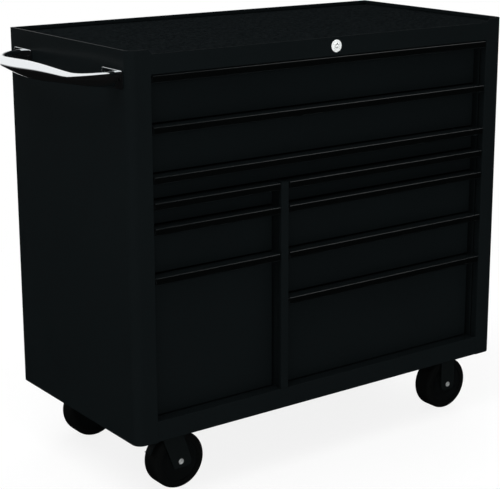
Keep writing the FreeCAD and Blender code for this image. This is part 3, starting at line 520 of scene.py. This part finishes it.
def buildBack():
    # two pressed swages stiffen the sheet
    swage = {"inset": 70, "sink": 0.2, "depth": 1.0, "foot": 9, "crest": 4.5, "edge": 0.6,
             "levels": (0.33, 0.66)}
    inset = 3 * shell["sheet"]
    plate = slab("backSheet", (left, rear - shell["sheet"], base), (right, rear, top), shell["edge"])
    hem = slab("backHem", (left + inset, rear - inset, top - shell["hem"]),
               (right - inset, rear - shell["sheet"], top), shell["hemEdge"])
    pieces = [plate, hem]
    x, y0, y1 = left + swage["inset"], rear - swage["sink"], rear + swage["depth"]
    for share in swage["levels"]:
        z = base + (top - base) * share
        outline = [(x, y0, z - swage["foot"]), (x, y0, z + swage["foot"]),
                   (x, y1, z + swage["crest"]), (x, y1, z - swage["crest"])]
        bar = extrudeOutline("backSwage", outline, (right - left - 2 * swage["inset"], 0, 0))
        soften(bar, swage["edge"])
        pieces.append(bar)
    return joinPieces("back_panel_sheet", pieces)


settle(buildBack(), "cabinet", "cabinet_paint", "back_panel")


def buildRivets():
    # blind rivets down both rear flanges and along the base
    rivet = {"radius": 3.4, "height": 1.1, "sink": 0.3, "inset": 12.5, "lowest": 40, "highest": 50,
             "rows": 7, "baseDrop": 22, "baseGaps": 6}
    radius, height = rivet["radius"], rivet["height"]
    profile = [(0, height), (radius * 0.55, height * 0.86), (radius * 0.9, height * 0.4), (radius, 0),
               (radius, -rivet["sink"])]
    start = (left + rivet["inset"], rear, base + rivet["lowest"])
    rivets = [turnProfile("rearRivet", start, profile, steps=16)]
    span = right - left - 2 * rivet["inset"]
    rise = (top - base - rivet["lowest"] - rivet["highest"]) / (rivet["rows"] - 1)
    moves = [(x, 0, row * rise) for row in range(rivet["rows"]) for x in (0, span)][1:]
    for gap in range(1, rivet["baseGaps"]):
        moves.append((span * gap / rivet["baseGaps"], 0, -rivet["baseDrop"]))
    for move in moves:
        rivets.append(copyPiece(rivets[0], "rearRivetCopy", move))
    return joinPieces("rear_rivets", rivets)


settle(buildRivets(), "cabinet", "zinc_steel", turned=True)


def buildTopRail():
    rail = {"height": 41.2, "return": 22, "short": 0.1, "edge": 0.2, "hemDrop": 5.6, "hemFront": 0.9,
            "hemRear": 2.4}
    z1 = top - shell["stepDrop"]
    z0 = z1 - rail["height"]
    # its face runs on over the bends of the stiles, so that no seam is left open there
    lap = shell["bend"] - rail["short"]
    x, x1 = openingLeft - lap, openingRight + lap
    line = [(x, front + rail["return"], z0), (x, front, z0), (x, front, z1)]
    face = foldSheet("topRailFace", line, (x1 - x, 0, 0), shell["sheet"], (0, -1, 0), [shell["bend"]])
    soften(face, rail["edge"])
    hem = slab("topRailHem", (x, front + rail["hemFront"], z1 - rail["hemDrop"]),
               (x1, front + rail["hemRear"], z1), shell["hemEdge"])
    return joinPieces("top_rail_face", [face, hem])


settle(buildTopRail(), "cabinet", "cabinet_paint", "top_rail")


def buildBottomRail():
    rail = {"return": 22, "lap": 1.6, "upperBend": 1.4}
    low, high = nodeBox("bottom_rail")
    x = low.x - rail["lap"]
    line = [(x, front + rail["return"], base), (x, front, base), (x, front, high.z), (x, high.y, high.z)]
    face = foldSheet("bottom_rail_face", line, (high.x - low.x + 2 * rail["lap"], 0, 0), shell["sheet"],
                     (0, -1, 0), [shell["bend"], rail["upperBend"]])
    soften(face, shell["edge"])
    return face


settle(buildBottomRail(), "cabinet", "cabinet_paint", "bottom_rail")


def buildDivider():
    post = {"return": 12, "partition": 12.6, "edge": 0.3, "capGap": 0.2, "lap": 0.6, "upperRear": 1.3,
            "lowerFront": 32, "lowerRear": 5}
    low, high = nodeBox("divider")
    middle = (low.x + high.x) / 2
    a, b = middle - post["partition"] / 2, middle + post["partition"] / 2
    y, gap, edge = front + post["return"], post["capGap"], post["edge"]
    capFoot = high.z - shell["sheet"]
    line = [(a, y, railTop), (low.x, y, railTop), (low.x, front, railTop), (high.x, front, railTop),
            (high.x, y, railTop), (b, y, railTop)]
    channel = foldSheet("dividerPost", line, (0, 0, capFoot - railTop), shell["sheet"], (0, -1, 0),
                        [shell["bend"]] * 4, 5)
    soften(channel, edge)
    cap = slab("dividerCap", (low.x + gap, front + gap, capFoot), (high.x - gap, y, high.z), edge)
    upper = slab("partitionUpper", (a, y - post["lap"], railTop), (b, rear - post["upperRear"], high.z), edge)
    lower = slab("partitionLower", (a, front + post["lowerFront"], low.z),
                 (b, rear - post["lowerRear"], railTop), edge)
    return joinPieces("divider_post", [channel, cap, upper, lower])


settle(buildDivider(), "cabinet", "cabinet_paint", "divider")


def buildMat():
    corner = {"front": 14, "rear": 2, "edge": 0.8}
    low, high = nodeBox("top_mat")
    outline = [(low.x, high.y, low.z), (low.x, low.y, low.z), (high.x, low.y, low.z), (high.x, high.y, low.z)]
    radii = [corner["rear"], corner["front"], corner["front"], corner["rear"]]
    mat = extrudeOutline("top_mat_sheet", outline, (0, 0, high.z - low.z), radii, 8)
    soften(mat, corner["edge"], 3)
    return mat


settle(buildMat(), "cabinet", "mat_rubber", "top_mat")


# drawers

print("drawers")
drawer = {"sheet": 1.0, "runner": 8, "edge": 0.35, "faceGap": 0.5, "underPull": 14, "floorRise": 3,
          "hemWidth": 2.2, "hemDrop": 5, "foldBack": 6, "foldBend": 1.4}
catch = {"reach": 9.3, "drop": 7, "width": 36, "leftBank": 214, "weld": 0.1, "bends": [0.6, 1.6], "edge": 0.3}
grip = {"height": 14.4, "crown": 1.2, "wall": 2.4, "web": 2.0, "corner": 1.8, "lip": 5.6, "lipWall": 1.6,
        "leg": 20, "grooveDepth": 0.8, "lowerEdge": 1.2, "edge": 0.3}
trim = {"inset": 0.4, "gap": 0.05, "shoulder": 0.25, "crown": 0.05, "round": 0.5}


def buildDrawer(name):
    low, high = nodeBox(f"{name}_box")
    runnerLow, runnerHigh = nodeBox(f"{name}_runners")
    x0, x1 = runnerLow.x + drawer["runner"], runnerHigh.x - drawer["runner"]
    y0, y1 = low.y + drawer["faceGap"], high.y - catch["reach"]
    z0 = low.z + drawer["floorRise"]
    z1 = nodeBox(f"{name}_pull")[1].z - grip["crown"] - drawer["underPull"]
    # folded tray: block, opened from the top, its rim hemmed inwards
    tray = cutBlock("drawerTray", (x0, y0, z0), (x1, y1, z1))
    selectFacing(tray, (0, 0, 1))
    bpy.ops.mesh.inset(thickness=drawer["hemWidth"] * 0.001)
    extrude(toMetres((0, 0, -drawer["hemDrop"])))
    extrude((0, 0, 0))
    spare = 2 * (drawer["hemWidth"] - drawer["sheet"])
    wide, deep = x1 - x0 - 2 * drawer["hemWidth"], y1 - y0 - 2 * drawer["hemWidth"]
    bpy.ops.transform.resize(value=(1 + spare / wide, 1 + spare / deep, 1),
                             center_override=toMetres(((x0 + x1) / 2, (y0 + y1) / 2, z1)))
    extrude(toMetres((0, 0, z0 + drawer["sheet"] + drawer["hemDrop"] - z1)))
    leaveEdit()
    soften(tray, drawer["edge"])
    # front, taller than the tray, with its lower edge turned back
    line = [(low.x, low.y + drawer["foldBack"], low.z), (low.x, low.y, low.z), (low.x, low.y, high.z)]
    face = foldSheet("drawerFace", line, (high.x - low.x, 0, 0), drawer["sheet"], (0, -1, 0),
                     [drawer["foldBend"]], 4)
    soften(face, drawer["edge"])
    # folded catch on the back, over the lock bar's hook
    hookX = left + catch["leftBank"] if "left" in name else nodeMiddle("lock_housing").x
    x, y, foot = hookX - catch["width"] / 2, y1 - catch["weld"], z1 - catch["drop"]
    hook = foldSheet("drawerCatch", [(x, y, foot), (x, y, z1), (x, high.y, z1), (x, high.y, foot)],
                     (catch["width"], 0, 0), drawer["sheet"], (0, 0, 1), catch["bends"], 4)
    soften(hook, catch["edge"])
    whole = joinPieces(f"{name}_body", [tray, face, hook])
    settle(whole, name, "cabinet_paint", f"{name}_box")


def buildPull(name):
    low, high = nodeBox(f"{name}_pull")
    height = high.z - grip["crown"]
    lower = height - grip["height"]
    grooveTop, grooveFoot = height - grip["corner"], lower + grip["lowerEdge"]
    y0, back = low.y, high.y
    groove, wall, lip = y0 + grip["grooveDepth"], y0 + grip["wall"], y0 + grip["lip"]
    lipTop, web = lower + grip["lipWall"], grip["web"]
    # y, z and the corner's radius, round the section from the top at the back
    profile = [(back, high.z, 0.6), ((y0 + back) / 2, high.z, 0), (y0, height, grip["corner"]),
               (y0, grooveTop, 0), (groove, grooveTop, 0), (groove, grooveFoot, 0), (y0, grooveFoot, 0),
               (y0, lower, 0.8), (lip, lower, 0.7), (lip, lipTop, 0.5), (wall, lipTop, 0.8),
               (wall, height - web, 2), (back - web, height - web, 2),
               (back - web, height - grip["leg"], 0.4), (back, height - grip["leg"], 0.4)]
    pull = extrudeOutline(f"{name}_rail", [(low.x, y, z) for y, z, _ in profile],
                          (high.x - low.x, 0, 0), [radius for _, _, radius in profile], 5)
    # the sawn ends get their arris taken off
    for side in (-1, 1):
        selectFacing(pull, (side, 0, 0))
        bpy.ops.mesh.bevel(offset=grip["edge"] * 0.001, segments=2, affect="EDGES")
        leaveEdit()
    settle(pull, name, "pull_paint", f"{name}_pull")
    # vinyl strip pushed into the groove, slightly crowned
    x, shoulder = low.x + trim["inset"], y0 + trim["shoulder"]
    stripTop, stripFoot = grooveTop - trim["gap"], grooveFoot + trim["gap"]
    outline = [(x, groove, stripTop), (x, shoulder, stripTop),
               (x, y0 + trim["crown"], (grooveTop + grooveFoot) / 2), (x, shoulder, stripFoot),
               (x, groove, stripFoot)]
    strip = extrudeOutline(f"{name}_trim", outline, (high.x - low.x - 2 * trim["inset"], 0, 0),
                           [0, trim["round"], 0, trim["round"], 0], 3)
    settle(strip, name, "pull_paint", finish=vinylAndNotchShade)


for name in ("full_1", "full_2", "full_3", "left_1", "left_2", "left_3", "right_1", "right_2", "right_3",
             "right_4"):
    buildDrawer(f"drawer_{name}")
    buildPull(f"drawer_{name}")


# side handle

print("handle")
bow = {"reach": 78.1, "inset": 50, "bend": 60, "radius": 1222, "middleHeight": 18.0, "neckHeight": 11.5,
       "footHeight": 15.5, "depth": 11.5, "footDepth": 13.0, "swell": 1.3, "level": 761.5, "sides": 40,
       "bendSteps": 9, "bowSteps": 10}
handleZ = base + bow["level"]


def handleStations():
    # plan of the bow as (x, y, heading, half height, half depth) from the front foot to the rear
    middle = (front + rear) / 2
    foot = front + bow["inset"]
    bowX = left - bow["reach"] + bow["radius"]
    rise = middle - (foot + bow["bend"])
    spread = bow["radius"] - bow["bend"]
    bendX, bendY = bowX - math.sqrt(spread ** 2 - rise ** 2), foot + bow["bend"]
    sweep = math.asin(rise / spread)
    bends, arcs = bow["bendSteps"], bow["bowSteps"]
    stations = [(left + 0.5, foot, 0.0)]
    for i in range(bends + 1):
        turn = (math.pi / 2 - sweep) * i / bends
        stations.append((bendX - bow["bend"] * math.sin(turn), bendY - bow["bend"] * math.cos(turn), turn))
    for i in range(1, arcs + 1):
        angle = sweep * (1 - i / arcs)
        stations.append((bowX - bow["radius"] * math.cos(angle), middle - bow["radius"] * math.sin(angle),
                         math.pi / 2 - angle))
    sized = []
    for i, (x, y, turn) in enumerate(stations):
        down = min(1, i / (bends + 1))
        up = max(0, (i - bends - 1) / arcs)
        ease = down * down * (3 - 2 * down)
        swell = math.sin(up * math.pi / 2) ** bow["swell"]
        height = bow["footHeight"] + (bow["neckHeight"] - bow["footHeight"]) * ease
        height += (bow["middleHeight"] - bow["neckHeight"]) * swell
        depth = bow["footDepth"] + (bow["depth"] - bow["footDepth"]) * ease
        sized.append((x, y, turn, height, depth))
    mirrored = [(x, 2 * middle - y, math.pi - turn, h, d) for x, y, turn, h, d in sized[-2::-1]]
    return sized + mirrored


def buildHandle():
    stations = handleStations()
    x, y, turn, height, depth = stations[0]
    centre = toMetres((x, y, handleZ))
    deselect()
    bpy.ops.mesh.primitive_circle_add(vertices=bow["sides"], radius=0.001, location=centre,
                                      rotation=(0, math.pi / 2, 0))
    bar = nameNew("side_handle_bar")
    bpy.ops.object.transform_apply()
    enterEdit()
    bpy.ops.transform.resize(value=(1, depth, height), center_override=centre)
    for before, after in zip(stations, stations[1:]):
        centre = toMetres((after[0], after[1], handleZ))
        extrude(centre - toMetres((before[0], before[1], handleZ)))
        # rotate runs clockwise here, so the bow's clockwise turn is a plain positive value
        bpy.ops.transform.rotate(value=after[2] - before[2], orient_axis="Z", center_override=centre)
        widen = after[4] / before[4]
        bpy.ops.transform.resize(value=(widen, widen, after[3] / before[3]), center_override=centre)
    leaveEdit()
    closeMesh(bar)
    return bar


def buildHandleFeet():
    plate = {"length": 80, "height": 37, "thick": 3, "shift": 10, "corner": 6, "edge": 0.8}
    low, high = handleZ - plate["height"] / 2, handleZ + plate["height"] / 2
    feet = []
    for middle in (front + bow["inset"] + plate["shift"], rear - bow["inset"] - plate["shift"]):
        a, b = middle - plate["length"] / 2, middle + plate["length"] / 2
        outline = [(left, a, low), (left, b, low), (left, b, high), (left, a, high)]
        foot = extrudeOutline("handleFoot", outline, (-plate["thick"], 0, 0), [plate["corner"]] * 4, 6)
        soften(foot, plate["edge"], 3)
        feet.append(foot)
    return joinPieces("side_handle_feet", feet)


settle(buildHandle(), "cabinet", "chrome", "side_handle", smooth=50, turned=True)
settle(buildHandleFeet(), "cabinet", "chrome", "side_handle")


# lock

print("lock")


def buildLock():
    bezel = {"radius": 13.4, "thick": 2.2, "bore": 8.05, "boreRim": 1.364, "dish": 9.6, "dishDepth": 1.584,
             "dishSlope": 1.2, "shank": 10.9, "length": 26}
    middle = nodeMiddle("lock_housing")
    x, z = middle.x, middle.z
    bore, radius, thick = bezel["bore"], bezel["radius"], bezel["thick"]
    profile = [(bore, 4), (bore, -bezel["boreRim"]), (bezel["dish"], -bezel["dishDepth"]),
               (bezel["dish"] + bezel["dishSlope"], -thick), (radius, -thick), (radius, 0),
               (bezel["shank"], 0), (bezel["shank"], bezel["length"]), (bore, bezel["length"]), (bore, 4)]
    ring = turnProfile("lock_bezel", (x, front, z), profile, [0, 0.4, 0.6, 1.4, 0, 0, 0, 0], 5, steps=72)
    settle(ring, "cabinet", "lock_chrome", "lock_housing", turned=True)
    # round-key plug: a ring keyway round a centre pin, and at the top a black block that paints the shade of
    # one tooth notch
    plug = {"radius": 7.9, "stand": 3.0, "ringOut": 5.0, "ringIn": 3.4, "deep": 6.0, "tail": 32}
    notch = {"half": 0.9, "foot": 4.9, "top": 6.6, "proud": 0.03, "deep": 1, "edge": 0.1}
    face = -plug["stand"]
    ringFoot = face + plug["deep"]
    profile = [(0, face), (plug["ringIn"], face), (plug["ringIn"], ringFoot), (plug["ringOut"], ringFoot),
               (plug["ringOut"], face), (plug["radius"], face), (plug["radius"], plug["tail"]),
               (0, plug["tail"])]
    core = turnProfile("lock_plug_face", (x, front, z), profile, [0.3, 0, 0, 0.3, 0.8, 0], steps=72)
    settle(core, "lock_cylinder", "lock_chrome", "lock_plug", turned=True)
    # the tooth notch is not cut: a thin black vinyl block standing just proud of the plug's face is painted
    # shade for it
    notchShade = slab("lock_key_notch_shade", (x - notch["half"], front + face - notch["proud"], z + notch["foot"]),
               (x + notch["half"], front + face + notch["deep"], z + notch["top"]), notch["edge"])
    settle(notchShade, "lock_cylinder", "lock_chrome", finish=vinylAndNotchShade, turned=True)


buildLock()


# casters

print("casters")
tyre = {"radius": 63.5, "width": 47.5, "shoulder": 8, "dish": 45, "dishDepth": 2.5, "hub": 17, "stand": 1.6,
        "bore": 5.05}
leg = {"thick": 3.5, "gap": 2.2, "belowAxle": 14.6, "topWidth": 53.6, "footWidth": 48, "lean": 19,
       "shift": 2.1, "frontCorner": 12, "rearCorner": 5, "edge": 0.6, "rigidWidth": 42, "rigidCorner": 14,
       "boss": ((9.6, -0.4), (9.2, 0.25), (7.4, 0.25), (7.0, -0.6))}
legReach = tyre["width"] / 2 + leg["gap"] + leg["thick"]
king = {"trail": 37.6, "crown": 6.5, "race": 28, "bore": 6.1, "pinAhead": 6.0, "pinDrop": 19.0}


def modelWheel(name, centre):
    # (radius, distance along the axle) on the outer side, mirrored for the inner one
    half, rim, hub = tyre["width"] / 2, tyre["dish"] + 2, tyre["hub"]
    side = [(rim, half - 3.2), (rim, half - 0.6), (rim + 2.2, half), (tyre["radius"], half)]
    outer = [(radius, -along) for radius, along in side] + side[::-1]
    outer += [(rim - 3, half - 3.4), (rim - 3, 3.4 - half), outer[0]]
    rounding = [0.5, 0.8, tyre["shoulder"]]
    ring = turnProfile(f"{name}_tyre", centre, outer, rounding + rounding[::-1] + [0] * 3, 7, steps=72)
    foot, crest = half - tyre["dishDepth"], half + tyre["stand"]
    disc = [(tyre["bore"], crest), (hub - 3.5, crest), (hub, half - 0.2), (hub + 3, foot - 0.8),
            (30, foot - 2.6), (rim - 6, foot - 0.6), (rim - 3.2, half - 1.4), (rim - 0.2, half - 1.6),
            (rim - 0.2, 0)]
    disc += [(radius, -along) for radius, along in disc[-2::-1]]
    rounding = [1.2, 1.0, 1.6, 4, 4, 1.0, 0.5]
    core = turnProfile(f"{name}_core", centre, disc + [disc[0]], rounding + [0] + rounding[::-1] + [0], 3,
                       steps=72)
    return [ring, core]


def buildWheel(name, source=None):
    centre = nodeMiddle(name)
    if source:
        move = centre - source["centre"]
        parts = [copyPiece(piece, f"{name}_{ending}", move)
                 for piece, ending in zip(source["pieces"], ("tyre", "core"))]
    else:
        parts = modelWheel(name, centre)
    for piece, finish in zip(parts, (None, corePlastic)):
        settle(piece, name, "wheel_rubber", name, finish=finish, turned=True)
    return {"pieces": parts, "centre": centre}


firstWheel = buildWheel("wheel_front_left")
for place in ("wheel_rear_left", "wheel_front_right", "wheel_rear_right"):
    buildWheel(place, firstWheel)


def buildLegs(corners, radii, steps, axle):
    # a pair of legs beside the wheel, each with a pressed boss round the axle
    pieces = []
    for toward in (-1, 1):
        y = axle.y + legReach * toward
        outline = [(x, y, z) for x, z in corners]
        plate = extrudeOutline("casterLeg", outline, (0, -leg["thick"] * toward, 0), radii, steps)
        soften(plate, leg["edge"])
        profile = [(radius, rise * toward) for radius, rise in leg["boss"]]
        pieces += [plate, turnProfile("axleBoss", (axle.x, y, axle.z), profile, steps=32)]
    return pieces


def buildAxle(name, centre):
    # shank with a domed head one side and a nut the other
    axle = {"head": ((0, 3.4), (2.6, 3.1), (4.8, 2.2), (6.3, 0.6), (6.5, 0)), "shank": 5, "tail": 3.3,
            "chamfer": 0.4, "endRadius": 4.4, "nut": 6.6, "nutHeight": 2.6, "nutEdge": 0.5}
    end = legReach + axle["tail"]
    profile = [(radius, -legReach - rise) for radius, rise in axle["head"]]
    profile += [(axle["shank"], -legReach), (axle["shank"], end - axle["chamfer"]), (axle["endRadius"], end),
                (0, end)]
    shank = turnProfile("axleShank", centre, profile, steps=36)
    ring = []
    for i in range(6):
        angle = math.radians(60 * i)
        ring.append(centre + Vector((axle["nut"] * math.cos(angle), legReach, axle["nut"] * math.sin(angle))))
    nut = extrudeOutline("axleNut", ring, (0, axle["nutHeight"], 0))
    soften(nut, axle["nutEdge"])
    return joinPieces(name, [shank, nut])


def buildFork(place, kingX, pin):
    top = nodeBox(f"fork_{place}")[1].z
    axle = nodeMiddle(f"wheel_{place}_left")
    slope = math.tan(math.radians(leg["lean"]))
    headX = axle.x + leg["shift"] - slope * (top - axle.z)
    footX = axle.x + leg["shift"] + slope * leg["belowAxle"]
    footZ = axle.z - leg["belowAxle"]
    corners = [(headX - leg["topWidth"] / 2, top), (headX + leg["topWidth"] / 2, top),
               (footX + leg["footWidth"] / 2, footZ), (footX - leg["footWidth"] / 2, footZ)]
    pieces = buildLegs(corners, [0, 0, leg["frontCorner"], leg["rearCorner"]], 6, axle)
    crownFoot, race, bore = top - king["crown"], king["race"], king["bore"]
    pieces.append(slab("forkCrown", (min(corners[0][0], kingX - race), axle.y - legReach, crownFoot),
                       (corners[1][0], axle.y + legReach, top), 2.2, 3))
    profile = [(bore, king["crown"]), (race, king["crown"]), (race, 0), (bore, 0), (bore, king["crown"])]
    pieces.append(turnProfile("forkRace", (kingX, axle.y, crownFoot), profile, [1.0, 1.6, 0], axis=(0, 0, 1)))
    half = [(0, legReach + 1.2), (4.2, legReach + 1.2), (4.6, legReach), (3.0, legReach)]
    profile = [(radius, -along) for radius, along in half] + half[::-1]
    pieces.append(turnProfile("pedalPin", pin, profile, steps=28))
    whole = joinPieces(f"fork_{place}_pressing", pieces)
    settle(whole, f"swivel_{place}", "caster_paint", f"fork_{place}")
    bolt = buildAxle(f"fork_axle_{place}_bolt", axle)
    settle(bolt, f"swivel_{place}", "bright_steel", f"fork_axle_{place}", turned=True)


def ringPiece(name, centre, radii, angles, width, edge, steps=14):
    # part of a flat ring round the axle, between two radii and two angles in degrees
    start, end = angles
    outline = []
    for radius, order in zip(radii, (range(steps, -1, -1), range(steps + 1))):
        for i in order:
            angle = math.radians(start + (end - start) * i / steps)
            outline.append(centre + Vector((radius * math.cos(angle), -width / 2, radius * math.sin(angle))))
    piece = extrudeOutline(name, outline, (0, width, 0))
    soften(piece, edge)
    return piece


def buildPedal(place, pin):
    toe = {"clearance": 4.5, "sheet": 2.5, "sweep": 43.5, "rise": 1.8, "width": 20, "shoeGap": 1.9,
           "shoeStart": 9, "shoeSweep": 10, "ribs": 4, "ribStart": 6, "ribPitch": 3.6, "ribSweep": 1.3}
    boss = {"radius": 6, "bore": 3.06, "half": 22, "chamfer": 0.4}
    axle = nodeMiddle(f"wheel_{place}_left")
    start = math.degrees(math.atan2(pin.z - axle.z, pin.x - axle.x))
    end = start + toe["sweep"]
    inner = tyre["radius"] + toe["clearance"]
    outer = inner + toe["sheet"]
    tipStart = end - math.degrees(toe["sheet"] / outer)
    shoeStart = start + toe["shoeStart"]
    width = toe["width"]
    pieces = [ringPiece("pedalLever", axle, (inner, outer), (start, end), width, 0.5),
              ringPiece("pedalToe", axle, (inner + 0.3, outer + toe["rise"]), (tipStart, end), width, 0.6, 3),
              ringPiece("pedalShoe", axle, (tyre["radius"] + toe["shoeGap"], inner + 0.5),
                        (shoeStart, shoeStart + toe["shoeSweep"]), width, 0.4, 4)]
    # grip ribs pressed up across the lever
    for i in range(toe["ribs"]):
        angle = end - toe["ribStart"] - toe["ribPitch"] * i
        pieces.append(ringPiece("pedalRib", axle, (outer - 0.4, outer + 0.8),
                                (angle, angle + toe["ribSweep"]), width - 5, 0.3, 2))
    radius, bore, half, chamfer = boss.values()
    profile = [(bore, -half), (radius - chamfer, -half), (radius, chamfer - half), (radius, half - chamfer),
               (radius - chamfer, half), (bore, half), (bore, -half)]
    pieces.append(turnProfile("pedalBoss", pin, profile, steps=36))
    whole = joinPieces(f"brake_pedal_{place}_lever", pieces)
    settle(whole, f"brake_{place}", "caster_paint", f"brake_pedal_{place}")


mount = {"width": 85, "depth": 100, "thick": 3, "corner": 6, "edge": 0.6, "raceDrop": 9, "pin": 6, "head": 10}


def casterPlate(x, y, top):
    low = top - mount["thick"]
    a, b = mount["width"] / 2, mount["depth"] / 2
    outline = [(x - a, y - b, low), (x + a, y - b, low), (x + a, y + b, low), (x - a, y + b, low)]
    sheet = extrudeOutline("casterPlate", outline, (0, 0, mount["thick"]), [mount["corner"]] * 4)
    soften(sheet, mount["edge"])
    return sheet


def buildUpperRace(kingX, y, top):
    # raceway under the plate, and the kingpin with its head below
    race, pin, head = king["race"], mount["pin"], mount["head"]
    profile = [(0, 9.2), (race, 9.2), (race, 0), (pin, 0), (pin, -7.1), (head, -7.1), (head, -10.5),
               (0, -10.5)]
    foot = top - mount["thick"] - mount["raceDrop"]
    return turnProfile("upperRace", (kingX, y, foot), profile, [0.5, 2.4, 0, 0, 0.6, 1.2], axis=(0, 0, 1))


plates = []
for place in ("front", "rear"):
    axle = nodeMiddle(f"wheel_{place}_left")
    kingX = axle.x - king["trail"]
    pin = Vector((kingX + king["pinAhead"], axle.y, base - king["pinDrop"]))
    buildFork(place, kingX, pin)
    buildPedal(place, pin)
    plateTop = nodeBox("swivel_plates")[1].z
    plates += [casterPlate(kingX, axle.y, plateTop), buildUpperRace(kingX, axle.y, plateTop)]
settle(joinPieces("swivel_plates_pressed", plates), "cabinet", "caster_paint", "swivel_plates")

saddle = {"thick": 3.5, "edge": 1.4}
brackets, axles = [], []
for place in ("front", "rear"):
    axle = nodeMiddle(f"wheel_{place}_right")
    plateTop = nodeBox("rigid_brackets")[1].z
    x0, x1 = axle.x - leg["rigidWidth"] / 2, axle.x + leg["rigidWidth"] / 2
    under, foot = plateTop - mount["thick"], axle.z - leg["belowAxle"]
    brackets.append(casterPlate(axle.x, axle.y, plateTop))
    brackets += buildLegs([(x0, under), (x1, under), (x1, foot), (x0, foot)],
                          [0, 0, leg["rigidCorner"], leg["rigidCorner"]], 7, axle)
    brackets.append(slab("rigidSaddle", (x0, axle.y - legReach, under - saddle["thick"]),
                         (x1, axle.y + legReach, under), saddle["edge"], 3))
    axles.append(buildAxle("rigidAxle", axle))
settle(joinPieces("rigid_brackets_pressed", brackets), "cabinet", "caster_paint", "rigid_brackets")
settle(joinPieces("rigid_axle_bolts", axles), "cabinet", "bright_steel", "rigid_axles", turned=True)


# floor, light and camera

print("studio")
deselect()
bpy.ops.mesh.primitive_plane_add(size=14)
floor = nameNew("studio_floor")
floor.data.materials.append(studioFloor())
floor.visible_glossy = False


def studioRoom():
    # The camera sees plain white. Gloss and chrome mirror the same white behind the cabinet,
    # dimmed towards the right, and a dark room in front and overhead, which draws the edges as
    # thin bright lines.
    room = {"toward": (0.3, 1, 0.74), "edge": (0.68, 0.76), "dark": 0.004, "sideEdge": (0.38, 0.52),
            "side": 0.12, "soft": 0.6}
    world = bpy.data.worlds.new("studioWorld")
    bpy.context.scene.world = world
    world.use_nodes = True
    tree = world.node_tree
    tree.nodes.clear()
    sky = addNode(tree, "ShaderNodeTexCoord")
    height = addNode(tree, "ShaderNodeVectorMath", {"operation": "DOT_PRODUCT", 1: room["toward"]},
                     {0: (sky, "Generated")})
    behind = addNode(tree, "ShaderNodeMapRange", smoothRamp(*room["edge"], room["dark"], 1.0),
                     {"Value": (height, "Value")})
    sides = addNode(tree, "ShaderNodeSeparateXYZ", links={"Vector": (sky, "Generated")})
    wing = addNode(tree, "ShaderNodeMapRange", smoothRamp(*room["sideEdge"], 1.0, room["side"]),
                   {"Value": (sides, "X")})
    glow = addNode(tree, "ShaderNodeMath", {"operation": "MULTIPLY"}, {0: behind, 1: wing})
    seen = addNode(tree, "ShaderNodeBackground", {"Color": (1, 1, 1, 1)}, {"Strength": glow})
    soft = addNode(tree, "ShaderNodeBackground", {"Color": (1, 1, 1, 1), "Strength": room["soft"]})
    white = addNode(tree, "ShaderNodeBackground", {"Color": (1, 1, 1, 1)})
    ray = addNode(tree, "ShaderNodeLightPath")
    mirrored = addNode(tree, "ShaderNodeMixShader", links={0: (ray, "Is Glossy Ray"), 1: soft, 2: seen})
    both = addNode(tree, "ShaderNodeMixShader", links={0: (ray, "Is Camera Ray"), 1: mirrored, 2: white})
    addNode(tree, "ShaderNodeOutputWorld", links={"Surface": both})


def areaLamp(name, place, aim, size, power, mirrored=False):
    bpy.ops.object.light_add(type="AREA", location=place)
    lamp = bpy.context.object
    lamp.name = name
    lamp.data.size = size
    lamp.data.energy = power
    lamp.visible_glossy = mirrored
    lamp.rotation_euler = (Vector(place) - Vector(aim)).to_track_quat("Z", "Y").to_euler()


def placeCamera():
    # solved from the photograph's own edges, in this frame
    shot = {"place": (-1895.1, -2638.5, 1338.3), "azimuth": -36.84, "elevation": 14.06, "roll": 0.09,
            "lens": 104.06, "shiftX": -0.0552, "shiftY": -0.0601}
    turn, tilt, roll = (math.radians(shot[key]) for key in ("azimuth", "elevation", "roll"))
    backward = Vector((math.sin(turn) * math.cos(tilt), -math.cos(turn) * math.cos(tilt), math.sin(tilt)))
    across = Vector((0, 0, 1)).cross(backward).normalized()
    upward = backward.cross(across)
    tiltedAcross = across * math.cos(roll) + upward * math.sin(roll)
    tiltedUp = upward * math.cos(roll) - across * math.sin(roll)
    bpy.ops.object.camera_add(location=toMetres(shot["place"]))
    camera = bpy.context.object
    camera.rotation_euler = Matrix((tiltedAcross, tiltedUp, backward)).transposed().to_euler()
    camera.data.sensor_width = 36
    camera.data.lens = shot["lens"]
    camera.data.shift_x, camera.data.shift_y = shot["shiftX"], shot["shiftY"]
    bpy.context.scene.camera = camera


studioRoom()
areaLamp("overheadSoftbox", (-1.3, -0.3, 3.2), (0, 0, 0.5), 2.4, 82)
areaLamp("frontFill", (-2.1, -3.7, 1.5), (0, 0, 0.5), 1.8, 52)
areaLamp("rearFill", (2.9, 2.3, 1.8), (0, 0, 0.5), 2.0, 50)
areaLamp("edgeLight", (1.9, -1.2, 2.7), (0, -0.2, 0.6), 1.3, 14, mirrored=True)
placeCamera()
bpy.context.scene.view_settings.view_transform = "Standard"

print("done")
